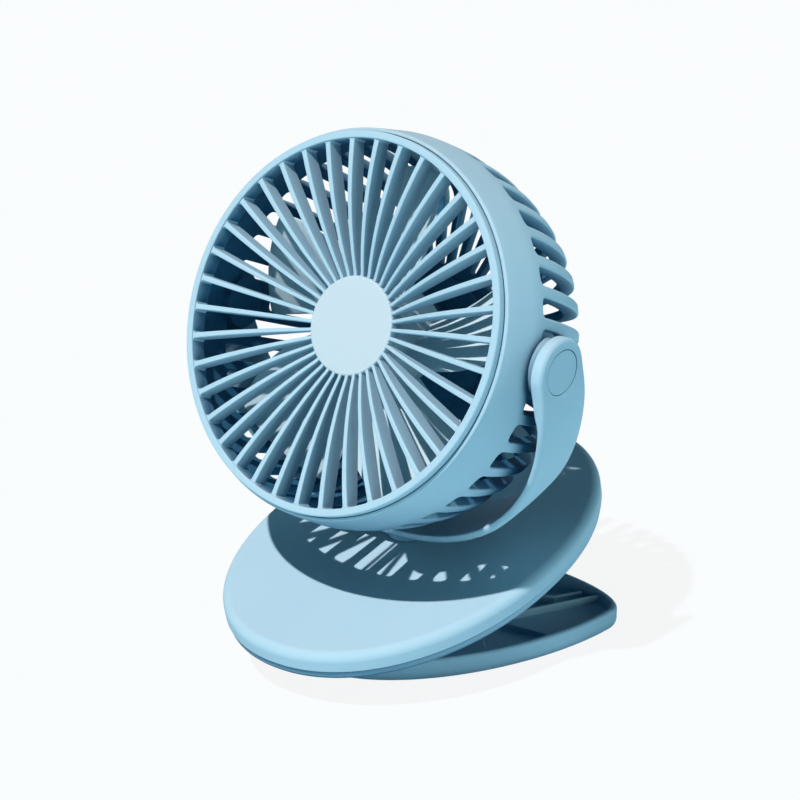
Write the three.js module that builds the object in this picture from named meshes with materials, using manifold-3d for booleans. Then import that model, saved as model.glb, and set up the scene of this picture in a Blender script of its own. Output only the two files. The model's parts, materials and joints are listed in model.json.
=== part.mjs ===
// A clip fan: a grilled drum head that tilts in a yoke, a yoke that swivels on a clip,
// and a sprung clip whose lower jaw stands on the table.
// Millimetres, +Z up. The fan blows towards -Y, and the underside of the lower jaw is at Z = 0.
import * as THREE from "three";
import { mergeVertices } from "three/addons/utils/BufferGeometryUtils.js";
import Module from "manifold-3d";

const wasm = await Module();
wasm.setup();

// Air between pieces that touch, and between pieces that run on each other.
const gap = 0.3;
const degree = Math.PI / 180;

// The pose that the fan stands in.
const headTilt = 20.7;
const clipTilt = 13.5;

// The head, measured along its own axis from the tilt axis: the face is at minus, the back at plus.
const headRadius = 64.5;
const bandTaper = 1.9;
const bandFront = 21.5;
const headBack = 34.5;
const shoulder = -8;
const cornerWidth = 14;
const wall = 2.4;
const headWall = 3.9;
const slotCount = 40;
const slotTurn = -1.5;
const slotShare = 0.6;
const slotFront = -4;
const slotMargin = 7;
const bossRadius = 11.5;
const bossDepth = 8.8;
const bossProud = 2.1;

// The front grille.
const rimWidth = 2.2;
const rimProud = 2.7;
const rimDepth = 6.5;
const discRadius = 16.1;
const discSetBack = 8.1;
const discThickness = 3;
const ribCount = 38;
const ribThickness = 1.4;

// The rear cap, the button and the motor.
const rearCapRadius = 20;
const rearCapWall = 1.8;
const rearWellDepth = 5.5;
const buttonRadius = 5.5;
const buttonProud = 1.2;
const ledRadius = 1.2;
const ledRise = 12;
const motorRadius = 13;
const motorLength = 16;
const motorScrewSpread = 8;
const shaftRadius = 1.5;

// The impeller.
const bladeCount = 5;
const bladeTipAir = 5.8;
const hubFrontAir = 2.1;
const hubMotorAir = 0.9;
const impellerHubLength = 24;
const impellerHubWall = 1.7;
const bladeThickness = 1.5;

// The yoke, measured from the tilt axis.
const yokeAir = 4.1;
const yokeRoundness = 2.17;
const yokeBottomThickness = 3.4;
const yokeWidth = 24;
const yokeSetBack = 0.5;
const earRadius = 10.5;
const earThickness = 4;
const capRadius = 6.9;
const capThickness = 1.1;
const pivotPinRadius = 2;
const pivotHeadRadius = 5.5;
const pivotHeadThickness = 1;
const bushWall = 1.6;
const swivelDiscRadius = 9;
const swivelDiscThickness = 3.4;
const swivelStubRadius = 5;
const swivelScrewRadius = 1.5;
const swivelHeadRadius = 3.4;
const swivelHeadThickness = 1.8;
const washerRadius = 9;
const washerThickness = 1;

// The clip's two plates. Lengths run from the swivel axis, or for the jaw from the tilt axis.
const plateHalfWidth = 55.6;
const plateFront = 75;
const plateBack = 77;
const plateRoundness = 2.1;
const shellThickness = 6.5;
const shellTopWall = 2.2;
const shellEdgeRadius = 4;
const coverThickness = 3;
const coverInset = 0.6;
const coverFloor = 1.8;
const jawHalfWidth = 55.6;
const jawWidest = 58.3;
const jawFront = 88;
const jawBack = 20;
const jawFrontRoundness = 1.8;
const jawBackRoundness = 2;
const jawHeight = 8;
const jawFloor = 2;
const jawWall = 2.2;
const jawEdgeRadius = 4;
const jawLedge = 4;

// The hinge, its spring and the grip pads.
const hingeBack = 22.8;
const hingeHeight = 16.2;
const hingeDrop = 21.7;
const hingePinRadius = 2;
const pinHeadRadius = 3.2;
const pinHeadThickness = 1.2;
const lugRadius = 5.5;
const lugThickness = 4.5;
const springWire = 0.7;
const springPinAir = 0.9;
const springLugAir = 0.8;
const springPitch = 2;
const springTurns = 8;
const springLegAngle = 50 * degree;
const padFront = -20;
const padBack = 0;
const padHalfWidth = 15;
const padThickness = 2;
const padTop = 8.4;

// The parts inside the upper plate.
const screwRadius = 1.1;
const screwHeadRadius = 2.3;
const screwHeadThickness = 0.8;
const postRadius = 3;
const postInset = 10;
const postAir = 7;
const batteryWidth = 52;
const batteryAir = 0.7;
const batteryEndAir = 5;
const boardWidth = 28;
const boardLength = 30;
const boardSetBack = 8;
const boardThickness = 1.2;
const portWidth = 8.9;
const portHeight = 3.2;
const portLength = 8;
const portSetBack = 0.8;

const paleBlue = { color: 0x9ccbdd, roughness: 0.55, metalness: 0 };
const deeperBlue = { color: 0x8fc0d4, roughness: 0.6, metalness: 0 };
const steel = { color: 0xb8bcc0, roughness: 0.35, metalness: 1 };
const darkSteel = { color: 0x5a5d62, roughness: 0.4, metalness: 1 };
const boardGreen = { color: 0x1f6b45, roughness: 0.5, metalness: 0 };
const silverWrap = { color: 0xc9ccd0, roughness: 0.4, metalness: 0.3 };
const softGrip = { color: 0x7fb0c6, roughness: 0.85, metalness: 0 };
const clearLens = { color: 0xf2f6f8, roughness: 0.2, metalness: 0 };
const copper = { color: 0xb87333, roughness: 0.4, metalness: 1 };

// A closed geometry as a solid: shared corners merged, empty triangles dropped, faces out.
function solid(geometry) {
  const bare = geometry.clone();
  bare.deleteAttribute("normal");
  bare.deleteAttribute("uv");
  const merged = mergeVertices(bare, 1e-4);
  const corners = merged.index.array;
  const kept = [];
  for (let i = 0; i < corners.length; i += 3) {
    const [a, b, c] = [corners[i], corners[i + 1], corners[i + 2]];
    if (a !== b && b !== c && c !== a) kept.push(a, b, c);
  }
  const build = (triangles) =>
    new wasm.Manifold(
      new wasm.Mesh({
        numProp: 3,
        vertProperties: merged.attributes.position.array,
        triVerts: new Uint32Array(triangles),
      }),
    );
  const made = build(kept);
  return made.volume() < 0 ? build([...kept].reverse()) : made;
}

function union(...shapes) {
  return shapes.reduce((sum, shape) => sum.add(shape));
}

function cut(shape, ...tools) {
  return tools.reduce((rest, tool) => rest.subtract(tool), shape);
}

// A solid as a named mesh with a material of its own.
function piece(name, shape, finish) {
  const { vertProperties, triVerts } = shape.getMesh();
  const geometry = new THREE.BufferGeometry();
  geometry.setAttribute("position", new THREE.BufferAttribute(vertProperties, 3));
  geometry.setIndex(new THREE.BufferAttribute(triVerts, 1));
  geometry.computeVertexNormals();
  const mesh = new THREE.Mesh(geometry, new THREE.MeshStandardMaterial(finish));
  mesh.name = name;
  return mesh;
}

// A stretch along X on one side of the middle, from its lower to its higher end.
function onSide(side, near, far) {
  return side > 0 ? [near, far] : [-far, -near];
}

// A box between two opposite corners.
function block(low, high) {
  const size = high.map((value, i) => value - low[i]);
  const centre = high.map((value, i) => (value + low[i]) / 2);
  return solid(new THREE.BoxGeometry(...size).translate(...centre));
}

// A solid turned about the Y axis. The profile is [radius, height] and starts and ends on the axis,
// or comes back to its first point.
function turned(profile, segments = 36) {
  const points = profile.map(([radius, height]) => new THREE.Vector2(radius, height));
  return solid(new THREE.LatheGeometry(points, segments));
}

// A round bar from one place to another along X, Y or Z.
function bar(axis, radius, from, to, centre = [0, 0], segments = 32) {
  const geometry = new THREE.CylinderGeometry(radius, radius, to - from, segments);
  geometry.translate(0, (from + to) / 2, 0);
  if (axis === "x") geometry.rotateZ(-Math.PI / 2).translate(0, centre[0], centre[1]);
  if (axis === "y") geometry.translate(centre[0], 0, centre[1]);
  if (axis === "z") geometry.rotateX(Math.PI / 2).translate(centre[0], centre[1], 0);
  return solid(geometry);
}

// An outline in the YZ plane given thickness along X.
function slabAcross(outline, from, to) {
  const shape = new THREE.Shape(outline.map(([y, z]) => new THREE.Vector2(y, z)));
  const geometry = new THREE.ExtrudeGeometry(shape, { depth: to - from, bevelEnabled: false });
  // Shape X and Y become world Y and Z, and the depth runs along world X.
  const turn = new THREE.Matrix4().makeBasis(
    new THREE.Vector3(0, 1, 0),
    new THREE.Vector3(0, 0, 1),
    new THREE.Vector3(1, 0, 0),
  );
  return solid(geometry.applyMatrix4(turn).translate(from, 0, 0));
}

// An upright slab: an outline in the XY plane given height along Z.
function slabUp(outline, bottom, top) {
  const shape = new THREE.Shape(outline.map(([x, y]) => new THREE.Vector2(x, y)));
  const geometry = new THREE.ExtrudeGeometry(shape, { depth: top - bottom, bevelEnabled: false });
  return solid(geometry.translate(0, 0, bottom));
}

// A plate with both edges rounded, from bottom to top.
function roundedPlate(outline, bottom, top, radius, steps = 3) {
  const shape = new THREE.Shape(outline.map(([x, y]) => new THREE.Vector2(x, y)));
  const geometry = new THREE.ExtrudeGeometry(shape, {
    depth: top - bottom - 2 * radius,
    bevelThickness: radius,
    bevelSize: radius,
    bevelOffset: -radius,
    bevelSegments: steps,
  });
  return solid(geometry.translate(0, 0, bottom + radius));
}

// An egg-shaped outline: two half superellipses that meet where the outline is widest.
function oval({ halfWidth, front, back, frontRoundness, backRoundness, widest, inset = 0 }) {
  const steps = 60;
  return Array.from({ length: steps }, (_, i) => {
    const turn = (2 * Math.PI * i) / steps;
    const [across, along] = [Math.cos(turn), Math.sin(turn)];
    const reach = (along < 0 ? front : back) - inset;
    const power = 2 / (along < 0 ? frontRoundness : backRoundness);
    return [
      (halfWidth - inset) * Math.sign(across) * Math.abs(across) ** power,
      widest + reach * Math.sign(along) * Math.abs(along) ** power,
    ];
  });
}

// ---- head, built with its axis along Y and its face towards -Y ----

const slotPitch = 360 / slotCount;
const bandFrontRadius = headRadius - bandTaper;
const grilleSeatRadius = bandFrontRadius - 1.1;
const rimOuter = grilleSeatRadius - gap;
const rimInner = rimOuter - rimWidth;
const rimFront = -bandFront - rimProud;
const rimBack = rimFront + rimDepth;
const discFront = rimFront + discSetBack;
const wellFloor = headBack - rearWellDepth;
const bossFace = headRadius + bossProud;
const bossInner = bossFace - bossDepth;
const slotInnerRadius = rearCapRadius + slotMargin;

// The rounded rear corner as points from the shoulder to the back, drawn in by an inset.
function rearCorner(inset) {
  const steps = 4;
  return Array.from({ length: steps + 1 }, (_, i) => {
    const turn = (Math.PI / 2) * (i / steps);
    return [
      headRadius - inset - cornerWidth * (1 - Math.cos(turn)),
      shoulder + (headBack - inset - shoulder) * Math.sin(turn),
    ];
  });
}

function headShell() {
  return turned(
    [
      [0, wellFloor - wall],
      [rearCapRadius + gap + wall, wellFloor - wall],
      [rearCapRadius + gap + wall, headBack - headWall],
      ...rearCorner(headWall).reverse(),
      [headRadius - headWall, rimBack + gap],
      [grilleSeatRadius, rimBack + gap],
      [grilleSeatRadius, -bandFront],
      [bandFrontRadius - 0.6, -bandFront],
      [bandFrontRadius, -bandFront + 0.7],
      ...rearCorner(0),
      [rearCapRadius + gap, headBack],
      [rearCapRadius + gap, wellFloor],
      [0, wellFloor],
    ],
    2 * slotCount,
  );
}

// A wedge that cuts one slot from its front end, round the corner, to the rear centre.
function slotWedge(index) {
  const half = (slotPitch * slotShare * degree) / 2;
  const reach = headRadius + 6;
  const atBoss = index === 0 || index === slotCount / 2;
  const front = atBoss ? bossRadius + 4 : slotFront;
  const outline = new THREE.Shape([
    new THREE.Vector2(slotInnerRadius, -slotInnerRadius * half),
    new THREE.Vector2(reach, -reach * half),
    new THREE.Vector2(reach, reach * half),
    new THREE.Vector2(slotInnerRadius, slotInnerRadius * half),
  ]);
  const depth = headBack + 5 - front;
  const geometry = new THREE.ExtrudeGeometry(outline, { depth, bevelEnabled: false });
  geometry.rotateX(-Math.PI / 2).translate(0, front, 0);
  return solid(geometry.rotateY(-(index * slotPitch + slotTurn) * degree));
}

function headHousing() {
  const wedges = Array.from({ length: slotCount }, (_, i) => slotWedge(i));
  let shape = cut(headShell(), ...wedges);
  for (const side of [-1, 1]) {
    const boss = bar("x", bossRadius, ...onSide(side, bossInner, bossFace));
    const bore = bar("x", pivotPinRadius + gap, ...onSide(side, bossInner - 1, bossFace + 1), [0, 0], 20);
    const screwAt = [side * motorScrewSpread, 0];
    const screwHole = bar("y", screwRadius + gap, wellFloor - wall - 1, wellFloor + 1, screwAt, 16);
    shape = cut(shape.add(boss), bore, screwHole);
  }
  return shape;
}

// The front edge of a rib: nearly flat at the rim, and diving back to the disc.
function ribFront(radius) {
  const share = (rimInner - radius) / (rimInner - discRadius);
  return rimFront + 0.8 + (discFront - rimFront - 1.1) * share ** 2.2;
}

function grilleRib(index) {
  const steps = 3;
  const [inner, outer] = [discRadius - 1.5, rimInner + 1];
  const front = Array.from({ length: steps + 1 }, (_, i) => {
    const radius = inner + ((outer - inner) * i) / steps;
    return [radius, ribFront(Math.min(Math.max(radius, discRadius), rimInner))];
  });
  const outline = [...front, [outer, rimBack - 0.4], [inner, discFront + discThickness - 0.2]];
  const shape = new THREE.Shape(outline.map(([radius, depth]) => new THREE.Vector2(radius, depth)));
  const geometry = new THREE.ExtrudeGeometry(shape, { depth: ribThickness, bevelEnabled: false });
  geometry.translate(0, 0, -ribThickness / 2);
  return solid(geometry.rotateY((index + 0.5) * (360 / ribCount) * degree));
}

function frontGrille() {
  const rim = turned(
    [
      [rimInner, rimFront + 0.6],
      [rimInner + 0.6, rimFront],
      [rimOuter - 1, rimFront],
      [rimOuter - 0.3, rimFront + 0.7],
      [rimOuter, -bandFront],
      [rimOuter, rimBack],
      [rimInner, rimBack],
      [rimInner, rimFront + 0.6],
    ],
    2 * ribCount,
  );
  const disc = turned(
    [
      [0, discFront],
      [discRadius - 0.8, discFront],
      [discRadius, discFront + 0.8],
      [discRadius, discFront + discThickness],
      [0, discFront + discThickness],
    ],
    ribCount,
  );
  const ribs = Array.from({ length: ribCount }, (_, i) => grilleRib(i));
  return union(rim, disc, ...ribs);
}

function rearCap() {
  const inner = rearCapRadius - rearCapWall;
  const shape = turned([
    [0, headBack - rearCapWall],
    [inner, headBack - rearCapWall],
    [inner, wellFloor + gap],
    [rearCapRadius, wellFloor + gap],
    [rearCapRadius, headBack - 0.5],
    [rearCapRadius - 0.5, headBack],
    [0, headBack],
  ]);
  const [front, back] = [headBack - rearCapWall - 1, headBack + 1];
  return cut(
    shape,
    bar("y", buttonRadius + gap, front, back),
    bar("y", ledRadius + gap, front, back, [0, ledRise], 16),
  );
}

function powerButton() {
  return turned([
    [0, headBack - rearCapWall - 0.6],
    [buttonRadius, headBack - rearCapWall - 0.6],
    [buttonRadius, headBack + buttonProud - 0.5],
    [buttonRadius - 0.5, headBack + buttonProud],
    [0, headBack + buttonProud],
  ]);
}

function headBoard() {
  const top = wellFloor + gap + boardThickness;
  const board = bar("y", rearCapRadius - rearCapWall - gap, wellFloor + gap, top);
  const holes = [-motorScrewSpread, motorScrewSpread].map((x) =>
    bar("y", screwHeadRadius + gap, wellFloor, top + 1, [x, 0], 16),
  );
  return cut(board, ...holes);
}

const motorBack = wellFloor - wall - gap;
const impellerHubRadius = motorRadius + hubMotorAir + impellerHubWall;
const impellerHubFront = discFront + discThickness + hubFrontAir;

function motorCan() {
  const front = motorBack - motorLength;
  const shape = turned([
    [0, front],
    [motorRadius - 1, front],
    [motorRadius, front + 1],
    [motorRadius, motorBack],
    [0, motorBack],
  ]);
  const holes = [-motorScrewSpread, motorScrewSpread].map((x) =>
    bar("y", screwRadius + gap, motorBack - 4, motorBack + 1, [x, 0], 16),
  );
  return cut(shape, bar("y", shaftRadius + gap, front - 1, front + 9, [0, 0], 16), ...holes);
}

// A pan screw along Y: its head is behind the wall that it holds.
function motorScrew(x) {
  const seat = wellFloor + gap;
  return union(
    bar("y", screwRadius, motorBack - 3, seat + 0.1, [x, 0], 16),
    bar("y", screwHeadRadius, seat, seat + screwHeadThickness, [x, 0], 16),
  );
}

function motorShaft() {
  const front = impellerHubFront + impellerHubWall + gap;
  return bar("y", shaftRadius, front, motorBack - motorLength + 8, [0, 0], 16);
}

function impellerHub() {
  const [front, back] = [impellerHubFront, impellerHubFront + impellerHubLength];
  const inner = impellerHubRadius - impellerHubWall;
  const boreRadius = shaftRadius + gap;
  return turned([
    [0, front],
    [impellerHubRadius - 2, front],
    [impellerHubRadius, front + 2],
    [impellerHubRadius, back],
    [inner, back],
    [inner, front + impellerHubWall + 1],
    [4, front + impellerHubWall + 1],
    [4, motorBack - motorLength - 1],
    [boreRadius, motorBack - motorLength - 1],
    [boreRadius, front + impellerHubWall],
    [0, front + impellerHubWall],
  ]);
}

// One blade: a thin box whose points are laid on cylinders about the axis, pitched less towards
// the tip and bowed a little, so that its root lies inside the hub's wall.
function blade(index) {
  const [root, tip] = [impellerHubRadius - 1, headRadius - headWall - bladeTipAir];
  const middle = impellerHubFront + impellerHubLength / 2 + 1;
  const geometry = new THREE.BoxGeometry(1, 1, 1, 6, 4, 1);
  const place = geometry.attributes.position;
  for (let i = 0; i < place.count; i += 1) {
    const along = place.getX(i) + 0.5;
    const chord = place.getY(i);
    const radius = root + (tip - root) * along;
    const width = 21 + 19 * Math.sin(along * Math.PI * 0.55);
    const pitch = (48 - 20 * along) * degree;
    const bow = 3 * (0.25 - chord * chord);
    const off = place.getZ(i) * bladeThickness + bow;
    const round = chord * width * Math.cos(pitch) + off * Math.sin(pitch);
    const axial = middle + chord * width * Math.sin(pitch) - off * Math.cos(pitch);
    const turn = round / radius + 0.35 * along + (2 * Math.PI * index) / bladeCount;
    place.setXYZ(i, radius * Math.cos(turn), axial, radius * Math.sin(turn));
  }
  return solid(geometry);
}

function impeller() {
  const blades = Array.from({ length: bladeCount }, (_, i) => blade(i));
  const room = turned([
    [0, impellerHubFront + impellerHubWall + 1],
    [impellerHubRadius - impellerHubWall, impellerHubFront + impellerHubWall + 1],
    [impellerHubRadius - impellerHubWall, 200],
    [0, 200],
  ]);
  return union(impellerHub(), ...blades.map((one) => one.subtract(room)));
}

// ---- yoke, built with the tilt axis along X through the origin and the swivel axis along Z ----

const earInner = bossFace + gap;
const earOuter = earInner + earThickness;
const yokeInnerRadius = headRadius + yokeAir;
const yokeBottom = yokeInnerRadius + yokeBottomThickness;
const plateTop = -(yokeBottom + swivelDiscThickness + gap);
const capSeat = earOuter - capThickness - pivotHeadThickness - 2 * gap;
const stubEnd = plateTop - shellTopWall - gap;

// The strap from the front: half a superellipse ring below the tilt axis.
function strap() {
  const steps = 26;
  const power = 2 / yokeRoundness;
  const arc = (side, bottom) =>
    Array.from({ length: steps + 1 }, (_, i) => {
      const turn = Math.PI * (i / steps);
      const [across, down] = [Math.cos(turn), Math.sin(turn)];
      return new THREE.Vector2(side * Math.sign(across) * Math.abs(across) ** power, -bottom * down ** power);
    });
  const outline = [...arc(earOuter, yokeBottom), ...arc(yokeInnerRadius, yokeInnerRadius).reverse()];
  const geometry = new THREE.ExtrudeGeometry(new THREE.Shape(outline), {
    depth: yokeWidth - 2,
    bevelThickness: 1,
    bevelSize: 0.8,
    bevelOffset: -0.8,
    bevelSegments: 1,
  });
  const ring = solid(geometry.translate(0, 0, 1 - yokeWidth / 2 - yokeSetBack).rotateX(Math.PI / 2));
  // From the side it is as wide as the ears at the tilt axis, and widens a little below them.
  const [front, back] = [yokeSetBack - yokeWidth / 2, yokeSetBack + yokeWidth / 2];
  const sideView = [
    [-earRadius, 1],
    [front, -earRadius - 3],
    [front, -yokeBottom - 5],
    [back, -yokeBottom - 5],
    [back, -earRadius - 3],
    [earRadius, 1],
  ];
  return ring.intersect(slabAcross(sideView, -earOuter - 5, earOuter + 5));
}

function yoke() {
  let shape = strap();
  for (const side of [-1, 1]) {
    const ear = bar("x", earRadius, ...onSide(side, earInner, earOuter), [0, 0], 40);
    const well = bar("x", capRadius + gap, ...onSide(side, capSeat, earOuter + 5));
    const boreRadius = pivotPinRadius + 2 * gap + bushWall;
    const bore = bar("x", boreRadius, ...onSide(side, earInner - 5, earOuter + 5), [0, 0], 24);
    shape = cut(shape.add(ear), well, bore);
  }
  const disc = bar("z", swivelDiscRadius, plateTop + gap, -yokeInnerRadius - 1, [0, 0], 40);
  const stub = bar("z", swivelStubRadius, stubEnd, plateTop + 1, [0, 0], 24);
  const bore = bar("z", swivelScrewRadius + gap, stubEnd - 1, stubEnd + 5, [0, 0], 16);
  return cut(union(shape, disc, stub), bore);
}

// A shouldered pin that joins an ear to the boss, with its head under the ear cap.
function pivotScrew(side) {
  const seat = capSeat + gap;
  return union(
    bar("x", pivotPinRadius, ...onSide(side, bossInner + 0.5, seat + 0.2), [0, 0], 20),
    bar("x", pivotHeadRadius, ...onSide(side, seat, seat + pivotHeadThickness), [0, 0], 28),
  );
}

function pivotBush(side) {
  const inner = pivotPinRadius + gap;
  return cut(
    bar("x", inner + bushWall, ...onSide(side, earInner, capSeat), [0, 0], 24),
    bar("x", inner, ...onSide(side, earInner - 1, capSeat + 1), [0, 0], 20),
  );
}

function earCap(side) {
  return bar("x", capRadius, ...onSide(side, earOuter - capThickness, earOuter));
}

function swivelWasher() {
  const top = stubEnd - gap;
  return cut(
    bar("z", washerRadius, top - washerThickness, top, [0, 0], 32),
    bar("z", swivelScrewRadius + gap, top - washerThickness - 1, top + 1, [0, 0], 16),
  );
}

function swivelScrew() {
  const seat = stubEnd - 2 * gap - washerThickness;
  return union(
    bar("z", swivelScrewRadius, seat - 0.1, stubEnd + 4, [0, 0], 16),
    bar("z", swivelHeadRadius, seat - swivelHeadThickness, seat, [0, 0], 20),
  );
}

// ---- upper clip, built with the plate's top at Z = 0 and the swivel axis along Z ----

const plateOutline = (inset) =>
  oval({
    halfWidth: plateHalfWidth,
    front: plateFront,
    back: plateBack,
    frontRoundness: plateRoundness,
    backRoundness: plateRoundness,
    widest: 0,
    inset,
  });
const springRadius = hingePinRadius + springPinAir + springWire;
const innerLug = (springPitch * springTurns) / 2 + springWire + springLugAir;
const coverTop = -shellThickness - gap;
const coverBottom = coverTop - coverThickness;
const coverFloorTop = coverBottom + coverFloor;
const insideFloor = coverFloorTop + gap;

// How far forward the plate reaches at a distance from its middle line, drawn in by an inset.
function plateReach(across, inset) {
  const share = (across / (plateHalfWidth - inset)) ** plateRoundness;
  return (plateFront - inset) * (1 - share) ** (1 / plateRoundness);
}

const postAcross = batteryWidth / 2 + postRadius + postAir;
const postAlong = plateReach(postAcross, postInset);
const posts = [-1, 1].flatMap((x) => [-1, 1].map((y) => [x * postAcross, y * postAlong]));
const portFloor = coverFloorTop + 2 * gap + boardThickness;
const portBack = plateBack - portSetBack;

// A point of the upright world (back, up) as a point of the tilted clip (back, up).
function toClip(back, up) {
  const [dy, dz] = [back - hingeBack, up - hingeHeight];
  const [c, s] = [Math.cos(clipTilt * degree), Math.sin(clipTilt * degree)];
  return [dy * c + dz * s, -dy * s + dz * c - hingeDrop];
}

function portOpening() {
  const low = [-portWidth / 2 - gap, portBack - portLength - 1, portFloor - gap];
  const high = [portWidth / 2 + gap, plateBack + 5, portFloor + portHeight + gap];
  return block(low, high);
}

function upperShell() {
  const outer = roundedPlate(plateOutline(0), -shellThickness - shellEdgeRadius - 1, 0, shellEdgeRadius);
  const below = block([-200, -200, -100], [200, 200, -shellThickness]);
  const room = slabUp(plateOutline(wall), -100, -shellTopWall);
  const columns = posts.map((at) => bar("z", postRadius, coverFloorTop + gap, -shellTopWall + 0.5, at, 20));
  const holes = posts.map((at) => bar("z", screwRadius + gap, -20, -shellTopWall - 1, at, 16));
  const stubHole = bar("z", swivelStubRadius + gap, -20, 20, [0, 0], 32);
  return cut(union(cut(outer, below, room), ...columns), stubHole, portOpening(), ...holes);
}

// A hinge lug as a side view: straight sides from its root to a round end about the pin.
function lugOutline(root, halfRoot, centre) {
  const steps = 10;
  const away = centre[1] > root ? 1 : -1;
  const end = Array.from({ length: steps + 1 }, (_, i) => {
    const turn = (Math.PI * i) / steps;
    return [centre[0] + lugRadius * Math.cos(turn), centre[1] + away * lugRadius * Math.sin(turn)];
  });
  return [...end, [centre[0] - halfRoot, root], [centre[0] + halfRoot, root]];
}

function bottomCover() {
  const outline = plateOutline(coverInset);
  const dish = roundedPlate(outline, coverBottom, coverTop + 4, 1.5, 2);
  const above = block([-200, -200, coverTop], [200, 200, 100]);
  const room = slabUp(plateOutline(coverInset + wall), coverFloorTop, 100);
  const pinAt = [0, -hingeDrop];
  const lugs = [-1, 1].map((side) => {
    const span = onSide(side, innerLug, innerLug + lugThickness);
    return slabAcross(lugOutline(coverBottom + 1, lugRadius + 3, pinAt), ...span);
  });
  const noseTop = coverBottom + 1;
  const noseBottom = padTop + 2 * gap + padThickness;
  const nose = [toClip(padFront, noseBottom), toClip(padBack, noseBottom)];
  const noseOutline = [...nose, [nose[1][0], noseTop], [nose[0][0], noseTop]];
  const noseBlock = slabAcross(noseOutline, -padHalfWidth, padHalfWidth);
  const holes = posts.map((at) => bar("z", screwRadius + gap, -40, 40, at, 16));
  const wells = posts.map((at) => {
    const depth = coverBottom + screwHeadThickness + gap;
    return bar("z", screwHeadRadius + gap, coverBottom - 1, depth, at, 20);
  });
  const pinHole = bar("x", hingePinRadius + gap, -100, 100, pinAt, 24);
  const whole = union(cut(dish, above, room), ...lugs, noseBlock);
  return cut(whole, pinHole, portOpening(), ...holes, ...wells);
}

function coverScrew([x, y]) {
  const seat = coverBottom + screwHeadThickness;
  return union(
    bar("z", screwHeadRadius, coverBottom, seat, [x, y], 20),
    bar("z", screwRadius, seat - 0.1, -shellTopWall - 2, [x, y], 16),
  );
}

function upperPad() {
  const [bottom, top] = [padTop + gap, padTop + gap + padThickness];
  const corners = [
    toClip(padFront, bottom),
    toClip(padBack, bottom),
    toClip(padBack, top),
    toClip(padFront, top),
  ];
  return slabAcross(corners, -padHalfWidth, padHalfWidth);
}

function battery() {
  const half = batteryWidth / 2;
  const front = -plateReach(half, wall + gap + batteryAir) + batteryAir;
  const back = -washerRadius - batteryEndAir;
  const outline = [
    [-half, front],
    [half, front],
    [half, back],
    [-half, back],
  ];
  return roundedPlate(outline, insideFloor, -shellTopWall - batteryAir, 1.2, 2);
}

function baseBoard() {
  const [half, back] = [boardWidth / 2, plateBack - boardSetBack];
  const top = insideFloor + boardThickness;
  return block([-half, back - boardLength, insideFloor], [half, back, top]);
}

function usbPort() {
  const half = portWidth / 2;
  const shellWall = 0.5;
  const front = portBack - portLength;
  const outer = block([-half, front, portFloor], [half, portBack, portFloor + portHeight]);
  const room = block(
    [-half + shellWall, front + 1, portFloor + shellWall],
    [half - shellWall, portBack + 1, portFloor + portHeight - shellWall],
  );
  const middle = portFloor + portHeight / 2;
  const tongue = block([-half + 1.6, front + 0.5, middle - 0.35], [half - 1.6, portBack - 1, middle + 0.35]);
  return union(cut(outer, room), tongue);
}

// ---- lower jaw, built in the upright world ----

const jawOutline = (inset) =>
  oval({
    halfWidth: jawHalfWidth,
    front: jawFront,
    back: jawBack,
    frontRoundness: jawFrontRoundness,
    backRoundness: jawBackRoundness,
    widest: jawWidest,
    inset,
  });

// A thin upright wall that follows a few points across the jaw's floor.
function floorWall(points, thickness, top) {
  const parts = points.slice(1).map((end, i) => {
    const start = points[i];
    const [dx, dy] = [end[0] - start[0], end[1] - start[1]];
    const length = Math.hypot(dx, dy);
    const geometry = new THREE.BoxGeometry(length + thickness, thickness, top - jawFloor + 0.5);
    geometry.rotateZ(Math.atan2(dy, dx));
    const middle = [(start[0] + end[0]) / 2, (start[1] + end[1]) / 2, (top + jawFloor - 0.5) / 2];
    return solid(geometry.translate(...middle));
  });
  return union(...parts);
}

function lowerJaw() {
  const outer = roundedPlate(jawOutline(0), 0, jawHeight + jawEdgeRadius + 1, jawEdgeRadius);
  const above = block([-200, -200, jawHeight], [200, 200, 100]);
  const room = slabUp(jawOutline(jawWall), jawFloor, 100);
  const inside = slabUp(jawOutline(jawWall - 0.3), jawFloor - 0.3, jawHeight + 1);
  const features = [];
  const platformTop = padTop - padThickness - gap;
  features.push(block([-padHalfWidth, padFront - 20, jawFloor - 0.5], [padHalfWidth, padBack, platformTop]));
  const jawWidestLedge = jawWidest - 24;
  for (const side of [-1, 1]) {
    const at = (x, y) => [side * x, y];
    const outboard = (points) => (side > 0 ? points : [...points].reverse());
    const frontLedge = [at(15, -40), at(70, -40), at(38, 10), at(28, 20), at(15, 20)];
    features.push(
      slabUp(outboard(frontLedge), jawFloor - 0.5, jawLedge),
      slabUp(
        outboard([at(27, jawWidestLedge), at(75, jawWidestLedge + 2), at(75, 100), at(52, 100)]),
        jawFloor - 0.5,
        jawLedge,
      ),
      floorWall([at(27, jawWidestLedge), at(48, 78)], 1.4, jawHeight - 1.6),
      floorWall([at(24, 57), at(33, 57), at(38, 68)], 1.2, jawHeight - 2.6),
    );
  }
  const trimmed = features.map((shape) => shape.intersect(inside));
  const lugs = [-1, 1].map((side) => {
    const inner = innerLug + lugThickness + gap;
    const outline = lugOutline(jawFloor - 0.5, lugRadius + 3, [hingeBack, hingeHeight]);
    return slabAcross(outline, ...onSide(side, inner, inner + lugThickness));
  });
  const pinHole = bar("x", hingePinRadius + gap, -100, 100, [hingeBack, hingeHeight], 24);
  return cut(union(cut(outer, above, room), ...trimmed, ...lugs), pinHole);
}

function lowerPad() {
  return block([-padHalfWidth, padFront, padTop - padThickness], [padHalfWidth, padBack, padTop]);
}

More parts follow.
